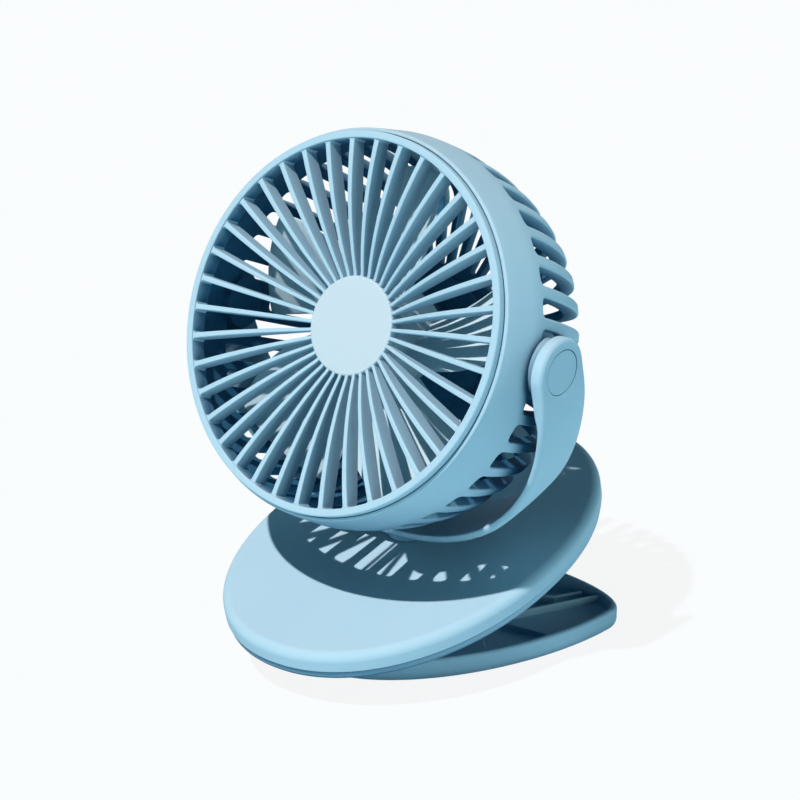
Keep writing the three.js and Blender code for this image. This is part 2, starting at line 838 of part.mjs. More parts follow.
function hingePin() {
  const half = innerLug + 2 * lugThickness + 2 * gap;
  const at = [hingeBack, hingeHeight];
  const heads = [-1, 1].map((side) => {
    return bar("x", pinHeadRadius, ...onSide(side, half, half + pinHeadThickness), at, 20);
  });
  return union(bar("x", hingePinRadius, -half - 0.5, half + 0.5, at, 20), ...heads);
}

// The torsion spring's line in the upright world: a leg from the jaw's floor, turns about the pin,
// and a leg to the underside of the cover.
class SpringLine extends THREE.Curve {
  constructor() {
    super();
    this.arcLengthDivisions = 1200;
    this.first = 90 * degree - springLegAngle;
    this.last = springLegAngle - 90 * degree + 2 * Math.PI * springTurns;
    const clear = springWire + gap;
    const low = hingeHeight + springRadius * Math.sin(this.first);
    this.lowerLeg = (low - jawFloor - clear) / Math.sin(springLegAngle);
    // The cover's underside is this far from the spring's last point, square to the plate.
    const tilt = clipTilt * degree;
    const drop = hingeDrop + coverBottom - springRadius * Math.sin(this.last - tilt);
    this.upperLeg = (drop - clear) / Math.sin(springLegAngle - tilt);
    this.length = this.lowerLeg + this.upperLeg + springRadius * (this.last - this.first);
  }

  getPoint(share) {
    const at = share * this.length;
    const wound = THREE.MathUtils.clamp(
      (at - this.lowerLeg) / springRadius,
      0,
      this.last - this.first,
    );
    const turn = this.first + wound;
    const width = (springPitch * (this.last - this.first)) / (2 * Math.PI);
    const beyond = at - this.lowerLeg - springRadius * wound;
    return new THREE.Vector3(
      (springPitch * wound) / (2 * Math.PI) - width / 2,
      hingeBack + springRadius * Math.cos(turn) - beyond * Math.sin(turn),
      hingeHeight + springRadius * Math.sin(turn) + beyond * Math.cos(turn),
    );
  }
}

function clipSpring() {
  const section = new THREE.Shape(
    Array.from({ length: 5 }, (_, i) => {
      const turn = (2 * Math.PI * i) / 5;
      return new THREE.Vector2(springWire * Math.cos(turn), springWire * Math.sin(turn));
    }),
  );
  const line = new SpringLine();
  const steps = Math.round((line.length * 8) / (2 * Math.PI * springRadius));
  const geometry = new THREE.ExtrudeGeometry(section, { steps, extrudePath: line, bevelEnabled: false });
  return solid(geometry);
}

// The least air between neighbouring turns of the spring, measured on points of its line.
function springGap() {
  const line = new SpringLine();
  const count = 800;
  const apart = Math.round((count * Math.PI * springRadius) / line.length);
  const points = Array.from({ length: count }, (_, i) => line.getPoint(i / (count - 1)));
  let least = Infinity;
  for (let i = 0; i < count; i += 1) {
    for (let j = i + apart; j < count; j += 1) {
      least = Math.min(least, points[i].distanceTo(points[j]));
    }
  }
  return least - 2 * springWire;
}

// ---- assembly ----

function headGroup() {
  const group = new THREE.Group();
  group.add(
    piece("front_grille", frontGrille(), paleBlue),
    piece("head_housing", headHousing(), paleBlue),
    piece("rear_cap", rearCap(), paleBlue),
    piece("power_button", powerButton(), deeperBlue),
    piece(
      "led_window",
      bar("y", ledRadius, headBack - rearCapWall - 0.4, headBack, [0, ledRise], 16),
      clearLens,
    ),
    piece("head_board", headBoard(), boardGreen),
    piece("motor_can", motorCan(), steel),
    piece("motor_screw_left", motorScrew(-motorScrewSpread), darkSteel),
    piece("motor_screw_right", motorScrew(motorScrewSpread), darkSteel),
    piece("motor_shaft", motorShaft(), steel),
    piece("impeller", impeller(), paleBlue),
    piece("pivot_screw_left", pivotScrew(-1), steel),
    piece("pivot_screw_right", pivotScrew(1), steel),
  );
  group.rotation.x = -(headTilt + clipTilt) * degree;
  return group;
}

function yokeGroup() {
  const group = new THREE.Group();
  group.add(
    piece("yoke", yoke(), paleBlue),
    piece("pivot_bush_left", pivotBush(-1), softGrip),
    piece("pivot_bush_right", pivotBush(1), softGrip),
    piece("ear_cap_left", earCap(-1), paleBlue),
    piece("ear_cap_right", earCap(1), paleBlue),
    piece("swivel_washer", swivelWasher(), steel),
    piece("swivel_screw", swivelScrew(), darkSteel),
    headGroup(),
  );
  group.position.z = -plateTop;
  return group;
}

function upperClipGroup() {
  const group = new THREE.Group();
  group.add(
    piece("upper_shell", upperShell(), paleBlue),
    piece("bottom_cover", bottomCover(), paleBlue),
    piece("upper_pad", upperPad(), softGrip),
    piece("battery", battery(), silverWrap),
    piece("base_board", baseBoard(), boardGreen),
    piece("usb_port", usbPort(), copper),
    ...posts.map((at, i) => piece("cover_screw_" + (i + 1), coverScrew(at), darkSteel)),
    yokeGroup(),
  );
  const tilt = clipTilt * degree;
  group.rotation.x = tilt;
  group.position.set(0, hingeBack - hingeDrop * Math.sin(tilt), hingeHeight + hingeDrop * Math.cos(tilt));
  return group;
}

const fan = new THREE.Group();
fan.add(
  piece("lower_jaw", lowerJaw(), paleBlue),
  piece("lower_pad", lowerPad(), softGrip),
  piece("hinge_pin", hingePin(), steel),
  piece("clip_spring", clipSpring(), steel),
  upperClipGroup(),
);
console.log("least gap between the spring's turns: " + springGap().toFixed(2) + " mm");

export default fan;
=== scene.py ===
import json
import bmesh
import bpy
import numpy as np
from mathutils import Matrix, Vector


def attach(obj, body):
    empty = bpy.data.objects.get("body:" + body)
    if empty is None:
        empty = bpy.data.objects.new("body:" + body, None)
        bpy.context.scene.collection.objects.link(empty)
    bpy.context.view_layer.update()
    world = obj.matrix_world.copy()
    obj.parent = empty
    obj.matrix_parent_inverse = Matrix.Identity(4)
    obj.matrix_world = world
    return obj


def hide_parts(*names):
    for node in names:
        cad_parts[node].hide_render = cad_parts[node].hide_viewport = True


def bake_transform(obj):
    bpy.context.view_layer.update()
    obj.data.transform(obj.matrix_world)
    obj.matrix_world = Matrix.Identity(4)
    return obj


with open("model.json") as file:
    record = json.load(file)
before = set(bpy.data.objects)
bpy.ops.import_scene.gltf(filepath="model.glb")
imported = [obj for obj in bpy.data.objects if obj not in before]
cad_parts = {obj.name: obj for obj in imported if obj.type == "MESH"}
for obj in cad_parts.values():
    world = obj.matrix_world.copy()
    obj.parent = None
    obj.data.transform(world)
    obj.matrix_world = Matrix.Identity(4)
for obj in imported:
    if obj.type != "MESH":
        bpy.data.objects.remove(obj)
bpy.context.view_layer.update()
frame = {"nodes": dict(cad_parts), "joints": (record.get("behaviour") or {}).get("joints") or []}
joints = {joint["name"]: joint for joint in frame["joints"]}
print("frame loaded:", len(frame["nodes"]), "nodes")

# Sizes below are in millimetres in the part's own directions, and a place turns them into the frame.
millimetre = 0.001
across = np.array([1.0, 0.0, 0.0])


def placeAt(origin, up):
    # local X is the frame's X, local Z is up, and local Y follows from the two
    up = np.array(up) / np.linalg.norm(up)
    axes = np.stack([across, np.cross(up, across), up], axis=1)
    return {"origin": np.array(origin) / millimetre, "axes": axes}


tiltAxisAt = np.array(joints["head_tilt"]["pos_m"])
plateUp = np.array(joints["yoke_swivel"]["axis"])
headFront = np.array(joints["impeller_spin"]["axis"])
hingeAt = np.array(joints["clip_hinge"]["pos_m"]) / millimetre
plateDrop = 75.7  # from the tilt axis down to the top of the upper plate

worldPlace = placeAt((0, 0, 0), (0, 0, 1))
yokePlace = placeAt(tiltAxisAt, plateUp)
platePlace = placeAt(tiltAxisAt - plateUp * plateDrop * millimetre, plateUp)
headPlace = placeAt(tiltAxisAt, np.cross(across, -headFront))


# shapes as arrays

def coordinates(*parts):
    # several arrays as the last axis of one, each spread to the shape that they share
    return np.stack(np.broadcast_arrays(*parts), axis=-1)


def filleted(points, radii, steps=5, closed=False):
    # each corner of a chain becomes an arc that touches both of its sides
    points = np.array(points, float)
    radii = np.broadcast_to(radii, len(points))
    chain = []
    for i, corner in enumerate(points):
        atEnd = not closed and i in (0, len(points) - 1)
        if atEnd or radii[i] == 0:
            chain.append(corner[None])
            continue
        toward = [points[i - 1] - corner, points[(i + 1) % len(points)] - corner]
        reach = [np.linalg.norm(side) for side in toward]
        before, after = toward[0] / reach[0], toward[1] / reach[1]
        half = np.arccos(np.clip(before @ after, -1, 1)) / 2
        tangent = min(radii[i] / np.tan(half), 0.49 * min(reach))
        radius = tangent * np.tan(half)
        middle = corner + (before + after) / np.linalg.norm(before + after) * radius / np.sin(half)
        start, end = corner + before * tangent - middle, corner + after * tangent - middle
        sweep = np.pi - 2 * half
        share = np.linspace(0, 1, steps + 1)[:, None]
        arc = (start * np.sin((1 - share) * sweep) + end * np.sin(share * sweep)) / np.sin(sweep)
        chain.append(middle + arc)
    return np.concatenate(chain)


def gridFaces(rows, columns, wrapRows=False):
    # four corners of every cell of a grid whose points are stored row by row, each row a ring
    row = np.arange(rows if wrapRows else rows - 1)[:, None]
    column = np.arange(columns)[None, :]
    nextRow, nextColumn = (row + 1) % rows, (column + 1) % columns
    return coordinates(row * columns + column, row * columns + nextColumn,
                       nextRow * columns + nextColumn, nextRow * columns + column).reshape(-1, 4)


def capped(rows, columns):
    # the cells of a tube of rings, and one flat face over each end
    ends = [list(range(columns))[::-1], list(range((rows - 1) * columns, rows * columns))]
    return gridFaces(rows, columns).tolist() + ends


def turned(profile, count, axis="y", closed=False):
    # a profile of (radius, distance along the axis) carried round the axis
    radius, along = np.array(profile, float).T[:, :, None]
    angle = np.linspace(0, 2 * np.pi, count, endpoint=False)[None]
    c, s = radius * np.cos(angle), radius * np.sin(angle)
    parts = {"x": (along, c, s), "y": (c, along, s), "z": (c, s, along)}[axis]
    return coordinates(*parts).reshape(-1, 3), gridFaces(len(profile), count, wrapRows=closed)


def rod(radius, low, high, count, axis="y"):
    # a plain cylinder along an axis, for cutting
    return turned([(0, low), (radius, low), (radius, high), (0, high)], count, axis)


def extruded(outline, low, high, axis="x"):
    # a closed outline given thickness along an axis, with one flat face at each end
    first, second = np.array(outline, float).T
    level = np.array([[low], [high]], float)
    parts = (level, first, second) if axis == "x" else (first, second, level)
    return coordinates(*parts).reshape(-1, 3), capped(2, len(first))


def roundedBox(low, high, radius):
    # a box along Y whose four long edges are rounded
    corners = [(low[0], low[2]), (high[0], low[2]), (high[0], high[2]), (low[0], high[2])]
    x, z = filleted(corners, radius, steps=6, closed=True).T
    y = np.array([[low[1]], [high[1]]], float)
    return coordinates(x, y, z).reshape(-1, 3), capped(2, len(x))


def moved(shape, by):
    # a shape carried along a vector
    return shape[0] + np.array(by, float), shape[1]


def joined(*shapes):
    # several closed shapes as one list of points and one list of faces
    points, faces, offset = [], [], 0
    for shapePoints, shapeFaces in shapes:
        points.append(np.asarray(shapePoints))
        faces += [[int(corner) + offset for corner in face] for face in shapeFaces]
        offset += len(shapePoints)
    return np.concatenate(points), faces


def mirrored(shape):
    # a shape and its mirror image on the other side of the middle
    points, faces = shape
    other = np.asarray(points) * np.array([-1.0, 1.0, 1.0])
    return joined(shape, (other, [list(face)[::-1] for face in faces]))


def repeated(shape, count, first=0.0):
    # copies of a shape turned about Y by equal shares of a turn
    points, faces = shape
    copies = []
    for angle in 2 * np.pi * (np.arange(count) + first) / count:
        c, s = np.cos(angle), np.sin(angle)
        copies.append((points @ np.array([[c, 0, s], [0, 1, 0], [-s, 0, c]]), faces))
    return joined(*copies)


def eased(value, low, high):
    # nought below low, one above high, and a smooth step of three squares less two cubes between
    share = np.clip((value - low) / (high - low), 0, 1)
    return share * share * (3 - 2 * share)


def oval(angle, size, inset=0.0):
    # two half superellipses that meet where the outline is widest, drawn in by an inset
    cosine, sine = np.cos(angle), np.sin(angle)
    reach = np.where(sine < 0, size["front"], size["back"]) - inset
    power = 2 / np.where(sine < 0, size["frontRoundness"], size["backRoundness"])
    x = (size["halfWidth"] - inset) * np.sign(cosine) * np.abs(cosine) ** power
    y = size["widest"] + reach * np.sign(sine) * np.abs(sine) ** power
    return x, y


def ovalDish(chain, size):
    # A chain of (inset, height) is carried round an oval, and its ends run on, level, to the middle.
    # Up to the collapse the outline is drawn in by the inset, and from there it shrinks to nothing.
    inward = np.linspace(chain[0, 0], 2 * size["collapse"], 9)[1:]
    profile = np.concatenate([coordinates(inward, chain[0, 1])[::-1], chain, coordinates(inward, chain[-1, 1])])
    inset, height = profile.T[:, :, None]
    angle = np.linspace(0, 2 * np.pi, 240, endpoint=False)[None]
    share = np.clip(2 - inset / size["collapse"], 0, 1)
    x, y = oval(angle, size, np.minimum(inset, size["collapse"]))
    y = size["widest"] + (y - size["widest"]) * share
    return coordinates(x * share, y, height).reshape(-1, 3), gridFaces(len(profile), angle.size)


# pieces

def makeObject(name, shape, place):
    # the place turns and carries the points; points that meet merge, and the faces turn outwards
    points, faces = shape
    world = (np.asarray(points) @ place["axes"].T + place["origin"]) * millimetre
    mesh = bpy.data.meshes.new(name)
    mesh.from_pydata(world.tolist(), [], [list(map(int, face)) for face in faces])
    shell = bmesh.new()
    shell.from_mesh(mesh)
    bmesh.ops.remove_doubles(shell, verts=shell.verts, dist=2e-7)
    bmesh.ops.recalc_face_normals(shell, faces=shell.faces)
    shell.to_mesh(mesh)
    shell.free()
    thing = bpy.data.objects.new(name, mesh)
    bpy.context.scene.collection.objects.link(thing)
    return thing


def combine(thing, shape, place, operation):
    # cuts or crops a finished mesh with another closed shape
    tool = makeObject("tool", shape, place)
    step = thing.modifiers.new("tool", "BOOLEAN")
    step.operation, step.solver, step.object = operation, "EXACT", tool
    bpy.context.view_layer.update()
    made = bpy.data.meshes.new_from_object(thing.evaluated_get(bpy.context.evaluated_depsgraph_get()))
    thing.modifiers.clear()
    thing.data = made
    bpy.data.objects.remove(tool)


def makePiece(name, shape, place, body, look, node, cuts=(), crop=None, bevel=0.0, bevelAngle=35):
    # a shape less its cuts, or cropped to another, with a material; its edges are bevelled where a
    # bevel is given and sharp past 50 degrees where not; it rides a body and stands for a CAD node
    thing = makeObject(name, shape, place)
    for cut in cuts:
        combine(thing, cut, place, "DIFFERENCE")
    if crop is not None:
        combine(thing, crop, place, "INTERSECT")
    mesh = thing.data
    mesh.materials.clear()
    mesh.materials.append(finishes[look])
    mesh.polygons.foreach_set("use_smooth", np.ones(len(mesh.polygons), bool))
    mesh.polygons.foreach_set("material_index", np.zeros(len(mesh.polygons), np.int32))
    if bevel:
        edge = thing.modifiers.new("softEdge", "BEVEL")
        edge.width, edge.segments = bevel * millimetre, 3
        edge.limit_method, edge.angle_limit = "ANGLE", np.radians(bevelAngle)
    else:
        mesh.set_sharp_from_angle(angle=np.radians(50))
    thing.modifiers.new("flatNormals", "WEIGHTED_NORMAL").keep_sharp = True
    if body:
        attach(thing, body)
    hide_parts(node)
    return thing


# materials

def setInputs(tree, node, values):
    # a value that is a socket is linked, and any other is set
    for socket, value in values.items():
        if isinstance(value, bpy.types.NodeSocket):
            tree.links.new(value, node.inputs[socket])
        else:
            node.inputs[socket].default_value = value


def addNode(tree, kind, values=None, **settings):
    # a node with its settings made before its inputs
    node = tree.nodes.new(kind)
    for name, value in settings.items():
        setattr(node, name, value)
    setInputs(tree, node, values or {})
    return node


def noiseOf(tree, scale, detail, roughness=0.5):
    # noise in object coordinates
    place = addNode(tree, "ShaderNodeTexCoord").outputs["Object"]
    return addNode(tree, "ShaderNodeTexNoise", {
        "Vector": place, "Scale": scale, "Detail": detail, "Roughness": roughness}).outputs["Fac"]


def remapped(tree, value, low, high, toLow=0.0, toHigh=1.0):
    # low to high becomes a new range in proportion, and stays within it
    return addNode(tree, "ShaderNodeMapRange", {
        "Value": value, "From Min": low, "From Max": high, "To Min": toLow, "To Max": toHigh}).outputs["Result"]


def product(tree, *values):
    # all values multiplied
    total = values[0]
    for value in values[1:]:
        total = addNode(tree, "ShaderNodeMath", {0: total, 1: value}, operation="MULTIPLY").outputs["Value"]
    return total


def newGroup(name, inputs, outputs):
    # an empty shader group with plain number sockets
    group = bpy.data.node_groups.new(name, "ShaderNodeTree")
    for socketName, value in inputs.items():
        socket = group.interface.new_socket(socketName, in_out="INPUT", socket_type="NodeSocketFloat")
        socket.default_value = value
    for socketName in outputs:
        group.interface.new_socket(socketName, in_out="OUTPUT", socket_type="NodeSocketFloat")
    return group, group.nodes.new("NodeGroupInput").outputs, group.nodes.new("NodeGroupOutput").inputs


def makeGrainGroup():
    # moulded texture: fine noise is the height, and slow noise a slight change of tone
    group, given, made = newGroup("mouldedGrain", {"Scale": 900.0}, ["Height", "Cloud"])
    group.links.new(noiseOf(group, given["Scale"], 3.0, 0.6), made["Height"])
    group.links.new(noiseOf(group, 25.0, 4.0, 0.55), made["Cloud"])
    return group


def makeWearGroup():
    # rubbed edges: how convex the surface is, times patches of noise, times the amount
    group, given, made = newGroup("edgeWear", {"Amount": 0.5}, ["Mask"])
    convex = addNode(group, "ShaderNodeNewGeometry").outputs["Pointiness"]
    patches = remapped(group, noiseOf(group, 120.0, 5.0), 0.35, 0.65)
    group.links.new(product(group, remapped(group, convex, 0.51, 0.6), patches, given["Amount"]), made["Mask"])
    return group


def makeDustGroup():
    # a thin film: how far the surface looks up, times patches of noise, times the amount
    group, given, made = newGroup("restingDust", {"Amount": 0.2}, ["Mask"])
    normal = addNode(group, "ShaderNodeNewGeometry").outputs["Normal"]
    facing = remapped(group, addNode(group, "ShaderNodeSeparateXYZ", {"Vector": normal}).outputs["Z"], 0.3, 1.0)
    patches = remapped(group, noiseOf(group, 60.0, 6.0, 0.65), 0.4, 0.75)
    group.links.new(product(group, facing, patches, given["Amount"]), made["Mask"])
    return group


def makePaintedShadeGroup():
    # painted shade in hollows: the share of the sky that its neighbours hide, times the amount, is the mask by which a
    # finish darkens where shade falls
    group, given, made = newGroup("paintedShadeInHollows", {"Distance": 0.035, "Amount": 0.5}, ["Mask"])
    openShare = addNode(group, "ShaderNodeAmbientOcclusion", {"Distance": given["Distance"]}, samples=8).outputs["AO"]
    group.links.new(product(group, remapped(group, openShare, 0.72, 0.3), given["Amount"]), made["Mask"])
    return group


groups = {"grain": makeGrainGroup(), "wear": makeWearGroup(), "dust": makeDustGroup(), "paintedHollowShade": makePaintedShadeGroup()}
dustColour = (0.72, 0.74, 0.74)


def mixColours(tree, mask, first, second):
    # the first colour where the mask is nought, and the second where it is one
    first, second = [(*colour, 1.0) if isinstance(colour, tuple) else colour for colour in (first, second)]
    return addNode(tree, "ShaderNodeMix", {0: mask, 6: first, 7: second}, data_type="RGBA").outputs[2]


def makeFinish(name, look):
    # one Principled surface: its tone drifts with slow noise, then worn edges, dust and painted shade in hollows
    # are laid over it in turn, and the fine noise is its bump
    material = bpy.data.materials.new(name)
    material.use_nodes = True
    tree = material.node_tree

    def groupOutputs(kind, **values):
        # a shared group with this look's own inputs
        return addNode(tree, "ShaderNodeGroup", values, node_tree=groups[kind]).outputs

    grain = groupOutputs("grain", Scale=look["grainScale"])
    colour = mixColours(tree, grain["Cloud"], look["colour"], look["cloudColour"])
    worn = groupOutputs("wear", Amount=look.get("wear", 0.3))["Mask"]
    colour = mixColours(tree, worn, colour, look["wornColour"])
    dusty = groupOutputs("dust", Amount=look.get("dust", 0.0))["Mask"]
    colour = mixColours(tree, dusty, colour, dustColour)
    # painted shade: hollows and tight places are darkened towards a deep blue where shade falls
    if look.get("paintedShadeAmount"):
        deep = groupOutputs("paintedHollowShade", Amount=look["paintedShadeAmount"], Distance=look["paintedShadeReach"])["Mask"]
        colour = mixColours(tree, deep, colour, look["paintedShadeColour"])
    bump = addNode(tree, "ShaderNodeBump", {
        "Strength": look["bump"], "Distance": look["bumpDepth"] * millimetre, "Height": grain["Height"]})
    setInputs(tree, tree.nodes["Principled BSDF"], {
        "Base Color": colour, "Normal": bump.outputs["Normal"],
        "Roughness": remapped(tree, grain["Cloud"], 0.0, 1.0, *look["roughness"]),
        "Metallic": look.get("metallic", 0.0), "Specular IOR Level": look.get("specular", 0.5),
        "Specular Tint": (*look.get("specularTint", (1.0, 1.0, 1.0)), 1.0)})
    return material


shellLook = {
    "slot": "shell_plastic", "colour": (0.365, 0.56, 0.68), "cloudColour": (0.395, 0.59, 0.705),
    "wornColour": (0.50, 0.69, 0.79), "roughness": (0.62, 0.76), "grainScale": 1500.0, "bump": 0.22,
    "bumpDepth": 0.08, "wear": 0.35, "dust": 0.03, "specular": 0.13, "specularTint": (0.2, 0.68, 1.0),
    # the deep blue of the painted shade in hollows
    "paintedShadeColour": (0.003, 0.095, 0.20)}
looks = {
    # painted shade: the finishes below darken their hollows by their own amount and reach, most inside the head and
    # behind the rim
    "shellPlastic": {**shellLook, "paintedShadeAmount": 0.95, "paintedShadeReach": 0.09},
    "grillePlastic": {**shellLook, "paintedShadeAmount": 0.25, "paintedShadeReach": 0.035},
    # the disc's paler, whiter tone is a painted sheen on its face
    "discPaintedSheen": {**shellLook, "colour": (0.47, 0.60, 0.665), "cloudColour": (0.50, 0.62, 0.685)},
    "rimPlastic": {**shellLook, "paintedShadeAmount": 1.0, "paintedShadeReach": 0.06},
    "yokePlastic": {**shellLook, "paintedShadeAmount": 0.8, "paintedShadeReach": 0.02},
    "jawPlastic": {**shellLook, "paintedShadeAmount": 0.2, "paintedShadeReach": 0.012},
    "platePlastic": shellLook,
    # a paler tone that paints light on the impeller and on the tops of the jaw's ribs
    "paintedLightPlastic": {
        **shellLook, "colour": (0.50, 0.68, 0.75), "cloudColour": (0.53, 0.70, 0.77),
        "wornColour": (0.60, 0.74, 0.80), "grainScale": 1100.0, "bump": 0.15},
    "buttonPlastic": {
        "slot": "button_plastic", "colour": (0.30, 0.54, 0.67), "cloudColour": (0.33, 0.57, 0.70),
        "wornColour": (0.45, 0.66, 0.76), "roughness": (0.38, 0.5), "grainScale": 1700.0, "bump": 0.15,
        "bumpDepth": 0.06, "wear": 0.5},
    "gripRubber": {
        "slot": "grip_rubber", "colour": (0.24, 0.46, 0.58), "cloudColour": (0.28, 0.50, 0.62),
        "wornColour": (0.38, 0.58, 0.68), "roughness": (0.72, 0.88), "grainScale": 700.0, "bump": 0.5,
        "bumpDepth": 0.15, "wear": 0.4, "dust": 0.15, "specular": 0.25},
    "bushPlastic": {
        "colour": (0.72, 0.74, 0.74), "cloudColour": (0.78, 0.79, 0.79), "wornColour": (0.85, 0.85, 0.85),
        "roughness": (0.4, 0.55), "grainScale": 1200.0, "bump": 0.15, "bumpDepth": 0.06},
    "steel": {
        "slot": "steel", "colour": (0.52, 0.54, 0.56), "cloudColour": (0.60, 0.61, 0.63),
        "wornColour": (0.75, 0.75, 0.76), "roughness": (0.26, 0.4), "grainScale": 600.0, "bump": 0.12,
        "bumpDepth": 0.04, "metallic": 1.0, "wear": 0.5},
    "darkSteel": {
        "slot": "dark_steel", "colour": (0.08, 0.085, 0.09), "cloudColour": (0.12, 0.125, 0.13),
        "wornColour": (0.45, 0.45, 0.46), "roughness": (0.32, 0.5), "grainScale": 800.0, "bump": 0.15,
        "bumpDepth": 0.04, "metallic": 1.0, "wear": 0.6},
    "solderMask": {
        "colour": (0.012, 0.15, 0.06), "cloudColour": (0.016, 0.19, 0.075), "wornColour": (0.05, 0.28, 0.13),
        "roughness": (0.28, 0.42), "grainScale": 500.0, "bump": 0.1, "bumpDepth": 0.05},
    "foilWrap": {
        "colour": (0.58, 0.60, 0.63), "cloudColour": (0.66, 0.68, 0.70), "wornColour": (0.8, 0.8, 0.8),
        "roughness": (0.3, 0.5), "grainScale": 200.0, "bump": 0.3, "bumpDepth": 0.2, "metallic": 0.3},
    "milkyLens": {
        "slot": "lens", "colour": (0.82, 0.86, 0.88), "cloudColour": (0.88, 0.91, 0.92),
        "wornColour": (0.95, 0.96, 0.96), "roughness": (0.12, 0.2), "grainScale": 900.0, "bump": 0.05,
        "bumpDepth": 0.03},
    "socketMetal": {
        "slot": "socket_metal", "colour": (0.56, 0.57, 0.59), "cloudColour": (0.62, 0.63, 0.64),
        "wornColour": (0.78, 0.78, 0.78), "roughness": (0.2, 0.34), "grainScale": 700.0, "bump": 0.1,
        "bumpDepth": 0.03, "metallic": 1.0},
}
finishes = {name: makeFinish(name, look) for name, look in looks.items()}
print("materials made:", len(finishes))


# front grille

grille = {
    "rimInner": 58.75, "rimOuter": 61.25, "rimFront": -24.2, "rimBack": -17.7, "rimRounding": (0.45, 0.6, 0.3, 0.5),
    "discRadius": 16.1, "discFront": -16.1, "discThickness": 3.0, "discCrown": 0.12,
    "ribs": 38, "ribWidthInner": 1.15, "ribWidthOuter": 1.85, "climb": 2.2, "flare": 0.8, "edge": 0.35,
    "backEdge": 0.25, "behindRim": 0.55, "behindDisc": 0.35,
}


def makeGrille(g):
    # the rim is a rounded box section carried round the axis
    rimLoop = filleted(
        [(g["rimInner"], g["rimFront"]), (g["rimOuter"], g["rimFront"]),
         (g["rimOuter"], g["rimBack"]), (g["rimInner"], g["rimBack"])],
        g["rimRounding"], steps=6, closed=True)
    # the rim's finish paints deep shade on its inner face
    makePiece("grilleRim", turned(rimLoop, 228, closed=True), headPlace, "head", "rimPlastic", "front_grille")

    # the disc's face is a very little domed: its crown falls off with the square of the radius
    discBack = g["discFront"] + g["discThickness"]
    disc = filleted(
        [(0, g["discFront"]), (g["discRadius"], g["discFront"]), (g["discRadius"], discBack), (0, discBack)],
        [0, 0.7, 0.5, 0], steps=6)
    crown = g["discCrown"] * (1 - (disc[:, 0] / g["discRadius"]) ** 2)
    disc[:, 1] -= np.where(disc[:, 1] < g["discFront"] + 0.5, crown, 0)
    # the disc's paler finish paints the sheen on its face
    makePiece("grilleDisc", turned(disc, 152), headPlace, "head", "discPaintedSheen", "front_grille")

    # A rib is a rounded bar section carried out from the disc to the rim. Its front edge starts behind
    # the disc's face and climbs by a power of the distance; its width grows, and flares into the rim.
    radius = np.concatenate([
        np.linspace(g["discRadius"] - 1.5, g["rimInner"] - g["flare"], 18),
        g["rimInner"] - g["flare"] * np.cos(np.linspace(0, np.pi / 2, 6))[1:], [g["rimInner"] + 1.0]])
    share = np.clip((g["rimInner"] - radius) / (g["rimInner"] - g["discRadius"]), 0, 1)
    frontOut, frontIn = g["rimFront"] + g["behindRim"], g["discFront"] + g["behindDisc"]
    backOut, backIn = g["rimBack"] - 0.4, discBack - 0.2
    front = frontOut + (frontIn - frontOut) * share ** g["climb"]
    back = backOut + (backIn - backOut) * share
    short = np.clip(g["flare"] - (g["rimInner"] - radius), 0, g["flare"])
    flare = g["flare"] - np.sqrt(g["flare"] ** 2 - short ** 2)
    width = g["ribWidthOuter"] + (g["ribWidthInner"] - g["ribWidthOuter"]) * share + 2 * flare

    # half of the section, from the front corner's arc to the back corner's, and its mirror image
    corner = np.linspace(0, np.pi / 2, 5)
    half, e, b = width[:, None] / 2, np.minimum(g["edge"], width * 0.45)[:, None], g["backEdge"]
    side = np.concatenate([half - e + e * np.sin(corner), half - b + b * np.cos(corner)], axis=1)
    deep = np.concatenate([front[:, None] + e - e * np.cos(corner),
                           back[:, None] - b + b * np.sin(corner)], axis=1)
    side, deep = np.hstack([side, -side[:, ::-1]]), np.hstack([deep, deep[:, ::-1]])
    bar = coordinates(radius[:, None], deep, side).reshape(-1, 3), capped(*side.shape)
    makePiece("grilleRibs", repeated(bar, g["ribs"], 0.5), headPlace, "head", "grillePlastic", "front_grille")


makeGrille(grille)
print("grille made")


# head housing

housing = {
    "bandFront": -21.5, "bandFrontRadius": 62.6, "radius": 64.5, "shoulder": -8.0, "back": 34.5,
    "corner": 14.0, "cornerPoints": 60, "wall": 3.9, "lip": 0.6, "seatRadius": 61.5, "seatBack": -17.4,
    "slots": 40, "slotTurn": -1.5, "slotShare": 0.6, "slotFront": -4.0, "slotEndRadius": 27.0,
    "frontRound": 1.9, "endRound": 1.15, "edge": 0.75, "innerEdge": 0.4,
    "wellRadius": 20.3, "wellFloor": 29.0, "wellWall": 2.4, "bossSlotFront": 15.5,
}


